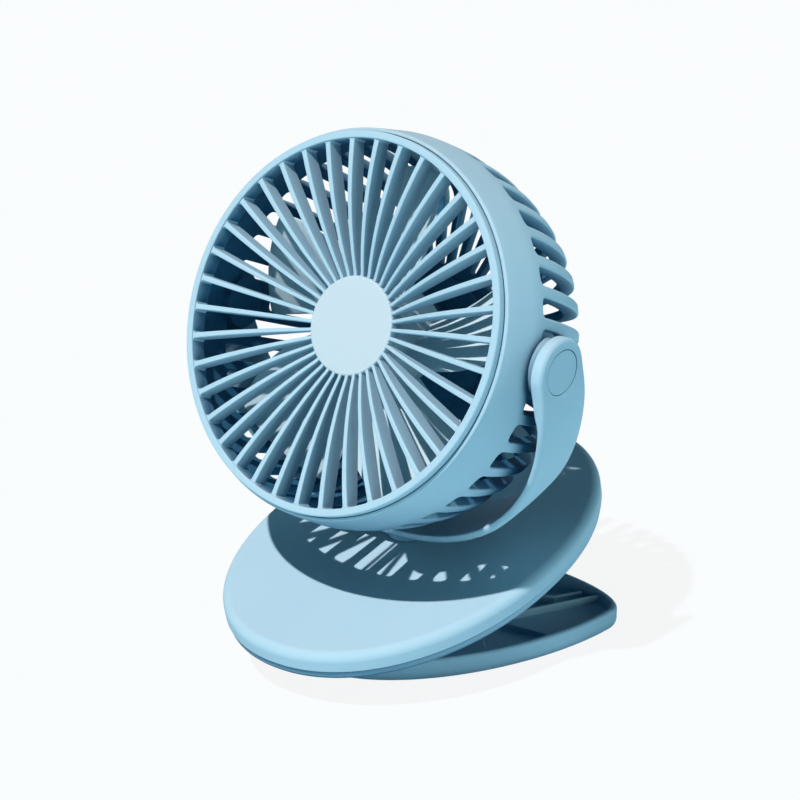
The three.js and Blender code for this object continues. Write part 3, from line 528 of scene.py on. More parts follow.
def housingProfile(h):
    # the outer and the inner skin as paired points (radius, distance): a band that widens in a straight
    # line, a quarter of an ellipse at the corner, and the flat back with its well; each end is listed
    turn = np.linspace(0, np.pi / 2, h["cornerPoints"])
    innerRadius, innerBack = h["radius"] - h["wall"], h["back"] - h["wall"]
    front, seat, lip, back = h["bandFront"], h["seatBack"], h["lip"], h["back"]

    def corner(radius, end):
        # a quarter of an ellipse from the shoulder to the end
        return coordinates(radius - h["corner"] * (1 - np.cos(turn)),
                           h["shoulder"] + (end - h["shoulder"]) * np.sin(turn))

    def bandRadius(y):
        # the radius grows in proportion to the distance behind the band's front
        return h["bandFrontRadius"] + (h["radius"] - h["bandFrontRadius"]) * (y - front) / (h["shoulder"] - front)

    outerFront = [(bandRadius(front) - lip, front), (bandRadius(front) - 0.14, front + 0.3),
                  (bandRadius(front), front + lip), (bandRadius(seat), seat),
                  (bandRadius(seat + 0.6), seat + 0.6)]
    innerFront = [(h["seatRadius"], front), (h["seatRadius"], front + 0.1), (h["seatRadius"], front + lip),
                  (h["seatRadius"], seat), (innerRadius, seat + 0.05)]
    wellOuter, wellInner = h["wellRadius"], h["wellRadius"] + h["wellWall"]
    floor = h["wellFloor"]
    endOuter = [(h["slotEndRadius"], back), (wellInner, back), (wellOuter + 0.5, back),
                (wellOuter + 0.1, back - 0.1), (wellOuter, back - 0.5), (wellOuter, floor), (0, floor)]
    endInner = [(h["slotEndRadius"], innerBack), (wellInner + 0.6, innerBack), (wellInner + 0.3, innerBack),
                (wellInner + 0.1, innerBack), (wellInner, innerBack - 0.2),
                (wellInner, floor - h["wellWall"]), (0, floor - h["wellWall"])]
    return (np.concatenate([outerFront, corner(h["radius"], back), endOuter]),
            np.concatenate([innerFront, corner(innerRadius, innerBack), endInner]), len(outerFront))


def makeHousing(h):
    # Both skins are one grid: rows are lengths along the profile and columns are angles. The cells in
    # the slots are left out, and walls join the skins wherever a kept cell meets an open one.
    outerLine, innerLine, frontPoints = housingProfile(h)
    along = np.concatenate([[0], np.cumsum(np.linalg.norm(np.diff(outerLine, axis=0), axis=1))])

    def at(length, line):
        # the point of a skin's line at a length along the outer one
        return coordinates(np.interp(length, along, line[:, 0]), np.interp(length, along, line[:, 1]))

    def lengthWhere(distance):
        # the length at which the line first comes this far back
        return np.interp(distance, np.maximum.accumulate(outerLine[:, 1]), along)

    slotStart, bossStart = lengthWhere(h["slotFront"]), lengthWhere(h["bossSlotFront"])
    cornerStart = lengthWhere(h["shoulder"])
    cornerEnd = along[frontPoints + h["cornerPoints"] - 1]
    slotEnd = cornerEnd + (h["radius"] - h["corner"] - h["slotEndRadius"])
    pitch = 360 / h["slots"]
    halfSlot = pitch * h["slotShare"] / 2
    perDegree = h["radius"] * np.pi / 180

    # columns of one pitch in degrees: the slot's rounded ends are arcs, and the rib's edges are rounded too
    bend = np.sin(np.radians([0, 28, 52, 73, 90]))
    inSlot = halfSlot - h["frontRound"] / perDegree * (1 - bend)
    edgeSteps = h["edge"] * np.array([0.1, 0.34, 0.66, 1.05]) / perDegree
    ribHalf = pitch / 2 - halfSlot
    slotColumns = np.concatenate([-inSlot[::-1], [0], inSlot])
    ribColumns = halfSlot + np.concatenate([edgeSteps, [ribHalf], 2 * ribHalf - edgeSteps[::-1]])
    columns = np.concatenate([slotColumns, ribColumns])
    angle = (np.arange(h["slots"])[:, None] * pitch + columns[None]).ravel()

    # rows as lengths along the outer skin; the slot runs between two of them
    nearSlot = h["edge"] * np.array([0.1, 0.3, 0.62, 1.0, 1.6])
    front = np.concatenate([along[:frontPoints], np.linspace(along[frontPoints - 1], cornerStart, 5)[1:]])
    middle = np.concatenate([[slotStart + h["frontRound"] + 0.4], np.linspace(slotStart + 3.4, cornerEnd, 17),
                             np.linspace(cornerEnd, slotEnd - 2.4, 5)[1:]])
    rear = along[frontPoints + h["cornerPoints"] + 1:]
    rows = np.concatenate([front, slotStart - nearSlot[::-1], [slotStart], middle, [slotEnd],
                           slotEnd + nearSlot, rear])
    first = len(front) + len(nearSlot)
    last = first + len(middle) + 1

    # each slot has its own start; beside the bosses it is further back, and the ribs between ease over
    starts = np.full(h["slots"], slotStart)
    starts[[0, h["slots"] // 2]] = bossStart
    knots = (np.arange(-1, h["slots"] + 1)[:, None] * pitch + np.array([-halfSlot, halfSlot])).ravel()
    startHere = np.interp(angle, knots, np.repeat(np.concatenate([starts[-1:], starts, starts[:1]]), 2))
    grid = np.broadcast_to(rows[:, None], (len(rows), len(angle))).copy()
    shift = startHere[None] - slotStart
    ahead = (grid > cornerStart) & (grid <= slotStart)
    grid += np.where(ahead, shift * (grid - cornerStart) / (slotStart - cornerStart), 0)
    rowNumber = np.arange(len(rows))[:, None]
    inSpan = (rowNumber > first) & (rowNumber < last)
    grid += np.where(inSpan, shift * (rows[last] - rows[:, None]) / (rows[last] - slotStart), 0)

    # the two end rows bend round the slot's corners, and the rows beyond them follow less and less
    slotAngle = (angle + pitch / 2) % pitch - pitch / 2
    fromSide = np.maximum((halfSlot - np.abs(slotAngle)), 0)

    def quarterDrop(depth, radius):
        # how far a quarter of a circle has fallen at a depth in from its edge
        near = np.clip(radius - depth, 0, radius)
        return radius - np.sqrt(radius ** 2 - near ** 2)

    frontBend = quarterDrop(fromSide * h["radius"] * np.pi / 180, h["frontRound"])
    endBend = quarterDrop(fromSide * h["slotEndRadius"] * np.pi / 180, h["endRound"])
    for step, fade in enumerate([0.0, 0.5, 0.8, 0.95, 1.0]):
        grid[first - 5 + step] += frontBend * fade
        grid[last + 5 - step] -= endBend * fade
    grid[first] += frontBend
    grid[last] -= endBend

    # distance of each point from the edge of the nearest slot, measured on the skin
    outer, inner = at(grid, outerLine), at(grid, innerLine)
    sideways = np.abs(slotAngle)[None] * outer[..., 0] * np.pi / 180
    halfHere = halfSlot * outer[..., 0] * np.pi / 180
    rounding = np.where(grid < (slotStart + slotEnd) / 2, h["frontRound"], h["endRound"])
    beyondSide = sideways - (halfHere - rounding)
    beyondEnd = np.maximum(startHere[None] + rounding - grid, grid - (slotEnd - rounding))
    apart = (np.hypot(np.maximum(beyondSide, 0), np.maximum(beyondEnd, 0))
             + np.minimum(np.maximum(beyondSide, beyondEnd), 0) - rounding)
    apart = np.maximum(apart, 0)

    # the edges round over: near a slot each skin falls towards the other as a quarter of a circle
    inward = inner - outer
    inward /= np.linalg.norm(inward, axis=-1, keepdims=True)
    outer = outer + inward * quarterDrop(apart, h["edge"])[..., None]
    inner = inner - inward * quarterDrop(apart, h["innerEdge"])[..., None]

    turn = np.radians(angle + h["slotTurn"])
    points = [coordinates(skin[..., 0] * np.cos(turn), skin[..., 1], skin[..., 0] * np.sin(turn)).reshape(-1, 3)
              for skin in (outer, inner)]
    rowCount, columnCount = grid.shape
    kept = np.ones((rowCount - 1, columnCount), bool)
    kept[first:last, (np.arange(columnCount) % len(columns)) < len(slotColumns) - 1] = False
    cells = gridFaces(rowCount, columnCount).reshape(rowCount - 1, columnCount, 4)
    offset = rowCount * columnCount
    faces = [cells[kept], cells[kept][:, ::-1] + offset]
    number = np.arange(offset).reshape(rowCount, columnCount)
    following = np.roll(number, -1, axis=1)
    borders = [(following[:-1], following[1:], kept & ~np.roll(kept, -1, axis=1)),
               (number[:-1], number[1:], kept & ~np.roll(kept, 1, axis=1)),
               (number[1:-1], following[1:-1], kept[:-1] != kept[1:]),
               (number[:1], following[:1], np.ones((1, columnCount), bool))]
    for a, b, chosen in borders:
        a, b = a[chosen], b[chosen]
        faces.append(np.stack([a, b, b + offset, a + offset], axis=-1))
    shape = np.concatenate(points), np.concatenate(faces)
    makePiece("headShell", shape, headPlace, "head", "shellPlastic", "head_housing")


makeHousing(housing)

boss = {"inner": 57.8, "face": 66.6, "radius": 8.6, "baseRadius": 11.4, "base": 62.4, "edge": 0.35}


def makeBosses(b):
    # a flared neck: its radius falls from the base to the face as a quarter of an ellipse does
    turn = np.linspace(0, np.pi / 2, 12)
    shoulder = b["face"] - b["edge"]
    neck = coordinates(b["baseRadius"] - (b["baseRadius"] - b["radius"]) * np.sin(turn),
                       shoulder - (shoulder - b["base"]) * np.cos(turn))
    rim = coordinates(b["radius"] - b["edge"] * (1 - np.cos(turn[::2])), shoulder + b["edge"] * np.sin(turn[::2]))
    profile = np.concatenate([[(0, b["inner"]), (b["radius"], b["inner"]), (b["radius"], b["base"] - 1.5)],
                              neck, rim[1:], [(0, b["face"])]])
    shape = mirrored(turned(profile, 96, axis="x"))
    makePiece("pivotBosses", shape, headPlace, "head", "shellPlastic", "head_housing")


makeBosses(boss)
print("housing made")


# rear cap, button and light

rear = {
    "radius": 20.0, "back": 34.5, "wall": 1.8, "front": 29.3,
    "buttonRadius": 5.5, "buttonProud": 1.2, "buttonFront": 32.1, "buttonAir": 0.3, "buttonEdge": 1.3, "dish": 0.5,
    "ledRadius": 1.2, "ledRise": 12.0, "ledAir": 0.25, "ledCrown": 0.12,
}


def makeRearCap(c):
    # a dished ring round the button's opening, turned from its section, with a hole for the light
    inner, opening, back = c["radius"] - c["wall"], c["buttonRadius"] + c["buttonAir"], c["back"]
    loop = filleted(
        [(opening, back - c["wall"]), (inner, back - c["wall"]), (inner, c["front"]), (c["radius"], c["front"]),
         (c["radius"], back), (opening + 1.3, back), (opening, back - 0.5)],
        [0.2, 0.6, 0.2, 0.3, 0.7, 0.9, 0.2], steps=5, closed=True)
    hole = moved(rod(c["ledRadius"] + c["ledAir"], 0, 12, 40), (0, back - 6, c["ledRise"]))
    makePiece("rearCover", turned(loop, 128, closed=True), headPlace, "head", "shellPlastic", "rear_cap", cuts=[hole])

    # the button's face is a shallow dish: its depth falls off with the square of the radius
    radius, face = c["buttonRadius"], back + c["buttonProud"]
    flat = radius - c["buttonEdge"]
    profile = filleted([(0, c["buttonFront"]), (radius, c["buttonFront"]), (radius, face), (flat, face)],
                       [0, 0.3, 0.6, 0], steps=5)
    inward = np.linspace(flat, 0, 12)
    dish = coordinates(inward, face - c["dish"] * (1 - (inward / flat) ** 2))
    makePiece("pushButton", turned(np.concatenate([profile, dish[1:]]), 96), headPlace, "button", "buttonPlastic",
              "power_button")

    low = back - c["wall"] - 0.4
    bead = filleted([(0, low), (c["ledRadius"], low), (c["ledRadius"], back), (0, back + c["ledCrown"])],
                    [0, 0.1, 0.35, 0], steps=5)
    makePiece("statusLight", moved(turned(bead, 40), (0, 0, c["ledRise"])), headPlace, "head", "milkyLens",
              "led_window")


makeRearCap(rear)
print("rear cap made")


# impeller

fan = {
    "hubRadius": 15.6, "hubFront": -11.0, "hubLength": 24.0, "hubWall": 1.7, "boreRadius": 1.7,
    "coreRadius": 4.0, "coreBack": 9.3,
    "blades": 5, "root": 14.6, "tip": 54.8, "middle": 2.0, "thickness": 1.5, "bow": 3.0,
    "chord": 21.0, "chordGain": 19.0, "pitch": 48.0, "pitchLoss": 20.0, "lean": 0.35, "tipRound": 0.06,
}


def makeImpeller(f):
    # the hub is a cup with a core for the shaft, turned from its section
    front, back = f["hubFront"], f["hubFront"] + f["hubLength"]
    inner, floor = f["hubRadius"] - f["hubWall"], front + f["hubWall"]
    profile = filleted(
        [(0, front), (f["hubRadius"], front), (f["hubRadius"], back), (inner, back), (inner, floor + 1),
         (f["coreRadius"], floor + 1), (f["coreRadius"], f["coreBack"]), (f["boreRadius"], f["coreBack"]),
         (f["boreRadius"], floor), (0, floor)],
        [0, 2.6, 0.4, 0.4, 0.8, 0.6, 0.2, 0.2, 0, 0], steps=6)
    # the impeller is paler than the shell: painted light, as if the sun reached it through the grille
    makePiece("fanHub", turned(profile, 96), headPlace, "impeller", "paintedLightPlastic", "impeller")

    # A blade is a plate of two parameters, out from the hub and across the chord, laid on cylinders about
    # the axis. The pitch falls towards the tip, the chord bows, and the thickness closes at the edges.
    body = 1 - f["tipRound"]
    outward = np.concatenate([np.linspace(0, body, 22),
                              body + f["tipRound"] * np.sin(np.linspace(0, np.pi / 2, 6))[1:]])
    along, loop = outward[:, None], np.linspace(0, 2 * np.pi, 44, endpoint=False)[None]
    radius = f["root"] + (f["tip"] - f["root"]) * along
    chord = 0.5 * np.cos(loop)
    lens = np.sign(np.sin(loop)) * np.sqrt(np.abs(np.sin(loop)))
    pastBody = ((along - body) / f["tipRound"]).clip(0, 1) ** 2
    tipEdge = np.sqrt(np.clip(1 - pastBody, 0.0009, 1))
    width = (f["chord"] + f["chordGain"] * np.sin(along * np.pi * 0.55)) * (1 - f["tipRound"] * pastBody)
    pitch = np.radians(f["pitch"] - f["pitchLoss"] * along)
    off = 0.5 * f["thickness"] * lens * tipEdge * (1.25 - 0.55 * along) + f["bow"] * (0.25 - chord ** 2)
    sweep = chord * width * np.cos(pitch) + off * np.sin(pitch)
    axial = f["middle"] + chord * width * np.sin(pitch) - off * np.cos(pitch)
    turn = sweep / radius + f["lean"] * along
    blade = coordinates(radius * np.cos(turn), axial, radius * np.sin(turn)).reshape(-1, 3), capped(*turn.shape)
    # painted light: the blades take the paler finish
    makePiece("fanBlades", repeated(blade, f["blades"]), headPlace, "impeller", "paintedLightPlastic", "impeller")


makeImpeller(fan)
print("impeller made")


# yoke

yoke = {
    "earInner": 66.9, "outer": 70.9, "inner": 68.6, "bottomOuter": 72.0, "roundness": 2.17,
    "earRadius": 10.5, "earWidth": 11.8, "earPoints": 16, "strapPoints": 97, "front": 11.9, "back": 12.5,
    "widenFrom": 1.5, "widenTo": 15.0, "outerEdge": 1.5, "innerEdge": 0.6, "crown": 0.45,
    "capRadius": 6.8, "capWidth": 8.0, "capThickness": 1.1, "capGap": 0.2, "wellDepth": 2.7, "boreRadius": 4.2,
    "discRadius": 9.0, "discBottom": -75.4, "stubRadius": 5.0, "stubEnd": -78.2,
}


def yokeLine(y, radius, depth):
    # up from one ear's top, down the side as half a superellipse, and up again: x and z of one skin
    ear = y["earRadius"] * np.sin(np.linspace(np.pi / 2, 0, y["earPoints"]))[:-1]
    turn = np.linspace(0, np.pi, y["strapPoints"])
    power = 2 / y["roundness"]
    x = radius * np.sign(np.cos(turn)) * np.abs(np.cos(turn)) ** power
    z = -depth * np.sin(turn) ** power
    upright = np.full(len(ear), radius)
    return np.concatenate([upright, x, -upright]), np.concatenate([ear, z, ear[::-1]])


def makeYoke(y):
    # The strap is a plate carried along its line. Seen from the side its outline is half an ellipse at
    # the ear, which widens below it; the ears are thicker, and step back to the strap's inner skin.
    rise, wide = y["earRadius"], y["earWidth"]
    outerX, outerZ = yokeLine(y, y["outer"], y["bottomOuter"])
    innerX, innerZ = yokeLine(y, y["inner"], y["inner"])
    step = eased(-innerZ, rise - 1.0, rise + 7.0)
    earX = np.sign(innerX) * (y["earInner"] + (np.abs(innerX) - y["earInner"]) * step)
    innerX = np.where(np.abs(innerX) > 40, earX, innerX)
    height = outerZ
    inEar = wide / rise * np.sqrt(np.clip(rise ** 2 - np.clip(height, 0, rise) ** 2, 1e-8, None))
    widen = eased(-height, y["widenFrom"], y["widenTo"])
    front = np.where(height > 0, inEar, wide + (y["front"] - wide) * widen)[:, None]
    back = np.where(height > 0, inEar, wide + (y["back"] - wide) * widen)[:, None]
    height = height[:, None]
    share = np.sin(np.linspace(-np.pi / 2, np.pi / 2, 33))[None]
    side = np.where(share < 0, share * front, share * back)
    fromEdge = np.where(share < 0, front + side, back - side)
    fromEdge = np.where(height > 0, rise - np.hypot(side * rise / wide, height), fromEdge)
    middle = coordinates((outerX + innerX) / 2, 0 * outerX, (outerZ + innerZ) / 2)[:, None]
    toOuter = coordinates((outerX - innerX) / 2, 0 * outerX, (outerZ - innerZ) / 2)[:, None]
    half = np.linalg.norm(toOuter, axis=-1)
    crown = y["crown"] * share ** 2 * eased(-height, 8, 30) / half

    def skin(sign, edge, crowned):
        # one face of the plate: its edges fall as a quarter of a circle, and its crown with the share squared
        near = np.clip(edge - np.maximum(fromEdge, 0), 0, edge)
        dropped = (edge - np.sqrt(edge ** 2 - near ** 2)) / half
        reach = sign * (1 - dropped - crowned)
        return middle + toOuter * reach[..., None] + side[..., None] * np.array([0, 1, 0])

    ring = np.concatenate([skin(1, y["outerEdge"], crown), skin(-1, y["innerEdge"], 0)[:, ::-1]], axis=1)
    well = y["capRadius"] + y["capGap"]
    hollow = rod(well, y["outer"] - y["wellDepth"], y["outer"] + 4, 72, axis="x")
    hollow = (hollow[0] * np.array([1, (y["capWidth"] + y["capGap"]) / well, 1]), hollow[1])
    makePiece("yokeStrap", (ring.reshape(-1, 3), gridFaces(*ring.shape[:2])), yokePlace, "yoke", "yokePlastic", "yoke",
              cuts=[mirrored(hollow), mirrored(rod(y["boreRadius"], 60, 80, 48, axis="x"))])

    top = -y["inner"] - 1.2
    collar = filleted([(0, top), (y["discRadius"], top), (y["discRadius"], y["discBottom"]),
                       (y["stubRadius"], y["discBottom"]), (y["stubRadius"], y["stubEnd"]), (0, y["stubEnd"])],
                      [0, 0.3, 0.6, 0.3, 0.4, 0], steps=5)
    makePiece("swivelCollar", turned(collar, 96, axis="z"), yokePlace, "yoke", "yokePlastic", "yoke")

    # a cap is a turned lid, stretched from front to back as its well is
    low, high = y["outer"] - y["capThickness"], y["outer"]
    lid = filleted([(0, low), (y["capRadius"], low), (y["capRadius"], high - 0.05), (0, high + 0.1)],
                   [0, 0.2, 0.3, 0], steps=5)
    points, faces = turned(lid, 96, axis="x")
    for name, sign in (("left", -1), ("right", 1)):
        stretched = points * np.array([sign, y["capWidth"] / y["capRadius"], 1])
        makePiece(name + "EarCap", (stretched, faces), yokePlace, "yoke", "yokePlastic", "ear_cap_" + name)


makeYoke(yoke)
print("yoke made")


# upper plate

plate = {
    "halfWidth": 55.6, "front": 75.0, "back": 77.0, "frontRoundness": 2.1, "backRoundness": 2.1, "widest": 0.0,
    "collapse": 26.0, "flatFrom": 16.0, "thickness": 6.5, "topWall": 2.2, "wall": 2.4, "edge": 4.0, "stubHole": 5.3,
    "coverTop": -6.8, "coverBottom": -9.8, "coverInset": 0.6, "coverFloor": -8.0, "coverEdge": 2.6,
    "postAcross": 36.0, "postInset": 10.0, "postHole": 2.6, "postHoleDepth": 1.1,
    "portWidth": 9.5, "portLow": -6.5, "portHigh": -2.7, "portFront": 67.2, "portBack": 82.0, "portRound": 1.7,
}


def postPlaces(p):
    # four places on a superellipse inside the outline, from how far across they stand
    share = (p["postAcross"] / (p["halfWidth"] - p["postInset"])) ** p["frontRoundness"]
    along = (p["front"] - p["postInset"]) * (1 - share) ** (1 / p["frontRoundness"])
    return [(x * p["postAcross"], y * along) for x in (-1, 1) for y in (-1, 1)]


def makeUpperPlate(p):
    # two dishes, each a chain of (inset, height) carried round the oval; the upper one opens downwards
    # and the lower one upwards, and both are cut for the charging port
    deep, bottom, under = p["flatFrom"], -p["thickness"], -p["topWall"]
    chain = filleted([(deep, 0), (0, 0), (0, bottom), (p["wall"], bottom), (p["wall"], under), (deep, under)],
                     [0, p["edge"], 0.35, 0.25, 0.6, 0], steps=8)
    half = p["portWidth"] / 2
    mouth = roundedBox((-half, p["portFront"], p["portLow"]), (half, p["portBack"], p["portHigh"]), p["portRound"])
    makePiece("clipTop", ovalDish(chain, p), platePlace, "upper_clip", "platePlastic", "upper_shell",
              cuts=[mouth, rod(p["stubHole"], -12, 4, 64, axis="z")])

    inset, high, low, floor = p["coverInset"], p["coverTop"], p["coverBottom"], p["coverFloor"]
    inside = inset + p["wall"]
    chain = filleted([(deep, low), (inset, low), (inset, high), (inside, high), (inside, floor), (deep, floor)],
                     [0, p["coverEdge"], 0.3, 0.3, 0.5, 0], steps=6)
    hole = rod(p["postHole"], low - 2, low + p["postHoleDepth"], 40, axis="z")
    makePiece("clipUnderside", ovalDish(chain, p), platePlace, "upper_clip", "shellPlastic", "bottom_cover",
              cuts=[mouth] + [moved(hole, (x, y, 0)) for x, y in postPlaces(p)])


makeUpperPlate(plate)

screw = {"headRadius": 2.3, "headThickness": 0.8, "shankRadius": 1.1, "top": -4.2,
         "recessRadius": 1.15, "recessDepth": 0.5, "lobes": 6, "lobeDepth": 0.16}


def makeCoverScrews(s, p):
    # a pan head whose driving recess is a star: its radius swells and shrinks once for each lobe
    low = p["coverBottom"]
    seat, recess = low + s["headThickness"], low + s["recessDepth"]
    profile = filleted(
        [(0, recess), (s["recessRadius"], recess), (s["recessRadius"], low), (s["headRadius"], low),
         (s["headRadius"], seat), (s["shankRadius"], seat), (s["shankRadius"], s["top"]), (0, s["top"])],
        [0, 0.08, 0.1, 0.35, 0.1, 0.2, 0.3, 0], steps=4)
    count = 72
    points, faces = turned(profile, count, axis="z")
    rows = points.reshape(len(profile), count, 3)
    star = 1 + s["lobeDepth"] * np.cos(s["lobes"] * np.linspace(0, 2 * np.pi, count, endpoint=False))
    inRecess = (profile[:, 0] <= s["recessRadius"] + 0.11) & (profile[:, 1] <= recess + 0.01)
    rows[inRecess, :, :2] *= star[:, None]
    for number, (x, y) in enumerate(postPlaces(p), 1):
        makePiece(f"coverScrew{number}", moved((rows.reshape(-1, 3), faces), (x, y, 0)), platePlace,
                  "upper_clip", "darkSteel", f"cover_screw_{number}")


makeCoverScrews(screw, plate)

port = {"width": 8.9, "height": 3.2, "low": -6.2, "back": 76.2, "length": 8.0, "wall": 0.45, "round": 1.5,
        "closedInset": 1.35, "tongueInset": 1.6, "tongueHalf": 0.35}


def makePort(c):
    # rounded-rectangle rings from the closed end, along the outside to the mouth, and back in along the inside
    half, back, front, wall = c["width"] / 2, c["back"], c["back"] - c["length"], c["wall"]
    centre = c["low"] + c["height"] / 2
    rows = []
    for inset, along in ((c["closedInset"], front), (0.3, front), (0, front + 0.3), (0, back - 0.15), (0.12, back),
                         (wall - 0.1, back), (wall, back - 0.15), (wall, front + 1), (c["closedInset"], front + 1)):
        tall, wide = c["height"] / 2 - inset, half - inset
        ring = filleted([(-wide, centre - tall), (wide, centre - tall), (wide, centre + tall), (-wide, centre + tall)],
                        max(c["round"] - inset, 0.1), steps=6, closed=True)
        rows.append(coordinates(ring[:, 0], along, ring[:, 1]))
    tube = np.concatenate(rows), capped(len(rows), len(rows[0]))
    wide, tall = half - c["tongueInset"], c["tongueHalf"]
    tongue = roundedBox((-wide, front + 0.6, centre - tall), (wide, back - 1, centre + tall), 0.15)
    makePiece("chargingPort", joined(tube, tongue), platePlace, "upper_clip", "socketMetal", "usb_port")


makePort(port)
print("upper plate made")


# hinge, pads and spring

hinge = {
    "back": hingeAt[1], "height": hingeAt[2], "drop": 21.7, "lugRadius": 5.5, "lugSpread": 3.0, "lugThickness": 4.5,
    "innerLug": 9.5, "pinRadius": 2.0, "headRadius": 3.2, "headThickness": 1.2, "gap": 0.3, "holeRadius": 2.25,
    "jawRoot": 1.5, "coverRoot": -8.8, "jawFloor": 2.0, "coverBottom": -9.8,
    "padHalf": 15.0, "padFront": -20.0, "padBack": 0.0, "padTop": 8.4, "padThickness": 2.0,
    "ribPitch": 2.0, "ribDepth": 0.45,
    "wire": 0.7, "springRadius": 3.6, "springPitch": 2.0, "springTurns": 8, "legAngle": 50.0,
}


def makeLugs(h):
    # two pairs of lugs, one on the cover and one on the jaw just outside it, and the pin through them
    def lug(root, centre, low):
        # straight sides from the root to a half circle about the pin, and the pin's hole
        turn = np.pi * np.linspace(0, 1, 25)
        away = 1 if centre[1] > root else -1
        end = coordinates(centre[0] + h["lugRadius"] * np.cos(turn), centre[1] + away * h["lugRadius"] * np.sin(turn))
        spread = h["lugRadius"] + h["lugSpread"]
        outline = np.concatenate([end, [(centre[0] - spread, root), (centre[0] + spread, root)]])
        hole = moved(rod(h["holeRadius"], -60, 60, 56, axis="x"), (0, *centre))
        return mirrored(extruded(outline, low, low + h["lugThickness"])), hole

    shape, hole = lug(h["coverRoot"], (0, -h["drop"]), h["innerLug"])
    makePiece("clipLugs", shape, platePlace, "upper_clip", "shellPlastic", "bottom_cover", cuts=[hole], bevel=0.5)
    outerLug = h["innerLug"] + h["lugThickness"] + h["gap"]
    pinAt = (h["back"], h["height"])
    shape, hole = lug(h["jawRoot"], pinAt, outerLug)
    makePiece("jawLugs", shape, worldPlace, "lower_clip", "shellPlastic", "lower_jaw", cuts=[hole], bevel=0.5)

    half = outerLug + h["lugThickness"] + h["gap"]
    end = half + h["headThickness"]
    profile = filleted([(0, -end), (h["headRadius"], -end), (h["headRadius"], -half), (h["pinRadius"], -half),
                        (h["pinRadius"], half), (h["headRadius"], half), (h["headRadius"], end), (0, end)],
                       [0, 0.6, 0.15, 0.1, 0.1, 0.15, 0.6, 0], steps=5)
    makePiece("clipPin", moved(turned(profile, 64, axis="x"), (0, *pinAt)), worldPlace, "lower_clip", "steel",
              "hinge_pin")


def makePads(h):
    # the side view of a pad is a block whose gripping face is a row of rounded ribs, as a raised cosine
    y = np.linspace(h["padFront"], h["padBack"], 161)
    drop = h["ribDepth"] * 0.5 * (1 + np.cos(2 * np.pi * (y - h["padFront"]) / h["ribPitch"]))
    low = h["padTop"] + h["gap"]
    pads = [("jawGrip", "lower_clip", "lower_pad", h["padTop"], -1),
            ("clipGrip", "upper_clip", "upper_pad", low, 1)]
    for name, body, node, face, inward in pads:
        plain = face + inward * h["padThickness"]
        outline = np.concatenate([coordinates(y, face + inward * drop),
                                  [(h["padBack"], plain), (h["padFront"], plain)]])
        makePiece(name, extruded(outline, -h["padHalf"], h["padHalf"]), worldPlace, body, "gripRubber", node,
                  bevel=0.25, bevelAngle=60)

    # the nose is a wedge: flat under the plate on top, level with the jaw below
    level = low + h["padThickness"] + h["gap"]
    ends = np.array([(0, h["padFront"], level), (0, h["padBack"], level)])
    front, back = (ends - platePlace["origin"]) @ platePlace["axes"][:, 1:]
    outline = [front, back, (back[0], h["coverRoot"]), (front[0], h["coverRoot"])]
    makePiece("clipNose", extruded(outline, -h["padHalf"], h["padHalf"]), platePlace, "upper_clip", "shellPlastic",
              "bottom_cover", bevel=0.6)


def makeSpring(h):
    # the wire's line: a leg up from the jaw's floor, turns about the pin, and a leg up to the cover
    leg = np.radians(h["legAngle"])
    tilt = np.arctan2(-plateUp[1], plateUp[2])
    first = np.pi / 2 - leg
    last = leg - np.pi / 2 + 2 * np.pi * h["springTurns"]
    radius, clear = h["springRadius"], h["wire"] + h["gap"]
    lowerLeg = (h["height"] + radius * np.sin(first) - h["jawFloor"] - clear) / np.sin(leg)
    drop = h["drop"] + h["coverBottom"] - radius * np.sin(last - tilt)
    upperLeg = (drop - clear) / np.sin(leg - tilt)
    wound = np.linspace(first, last, 48 * h["springTurns"])
    turn = np.concatenate([np.full(12, first), wound[1:-1], np.full(12, last)])
    beyond = np.concatenate([np.linspace(-lowerLeg, 0, 12), np.zeros(len(wound) - 2), np.linspace(0, upperLeg, 12)])
    width = h["springPitch"] * (last - first) / (2 * np.pi)
    line = coordinates(h["springPitch"] * (turn - first) / (2 * np.pi) - width / 2,
                       h["back"] + radius * np.cos(turn) - beyond * np.sin(turn),
                       h["height"] + radius * np.sin(turn) + beyond * np.cos(turn))

    # the tube: circles square to the line, which start away from the pin
    along = np.gradient(line, axis=0)
    along /= np.linalg.norm(along, axis=1, keepdims=True)
    outward = coordinates(0, np.cos(turn), np.sin(turn))
    outward -= along * np.sum(along * outward, axis=1, keepdims=True)
    outward /= np.linalg.norm(outward, axis=1, keepdims=True)
    sideways = np.cross(along, outward)
    angle = np.linspace(0, 2 * np.pi, 14, endpoint=False)[None, :, None]
    tube = line[:, None] + h["wire"] * (np.cos(angle) * outward[:, None] + np.sin(angle) * sideways[:, None])
    coil = makePiece("torsionSpring", (tube.reshape(-1, 3), capped(*tube.shape[:2])), worldPlace, None, "steel",
                     "clip_spring")
    # the turns wind up along the pin from the jaw's leg to the cover's leg
    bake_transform(coil)


makeLugs(hinge)
makePads(hinge)
makeSpring(hinge)
print("hinge made")


# lower jaw

jaw = {
    "halfWidth": 55.6, "front": 88.0, "back": 20.0, "frontRoundness": 1.8, "backRoundness": 2.0, "widest": 58.3,
    "collapse": 10.0, "flatFrom": 8.0, "height": 8.0, "floor": 2.0, "wall": 2.4, "edge": 5.2, "rooted": 0.4,
    "ledge": 4.0, "frontLedge": [(15, -40), (70, -40), (38, 10), (28, 20), (15, 20)],
    "sideLedge": [(25, 34.3), (75, 36.3), (75, 100), (50, 100)],
    "longRib": [(25, 34.3), (46, 78)], "longRibTop": 6.4, "longRibWidth": 1.4,
    "bentRib": [(24, 59.5), (29.5, 60.5), (34.5, 70.5)], "bentRibTop": 5.6, "bentRibWidth": 1.3,
}


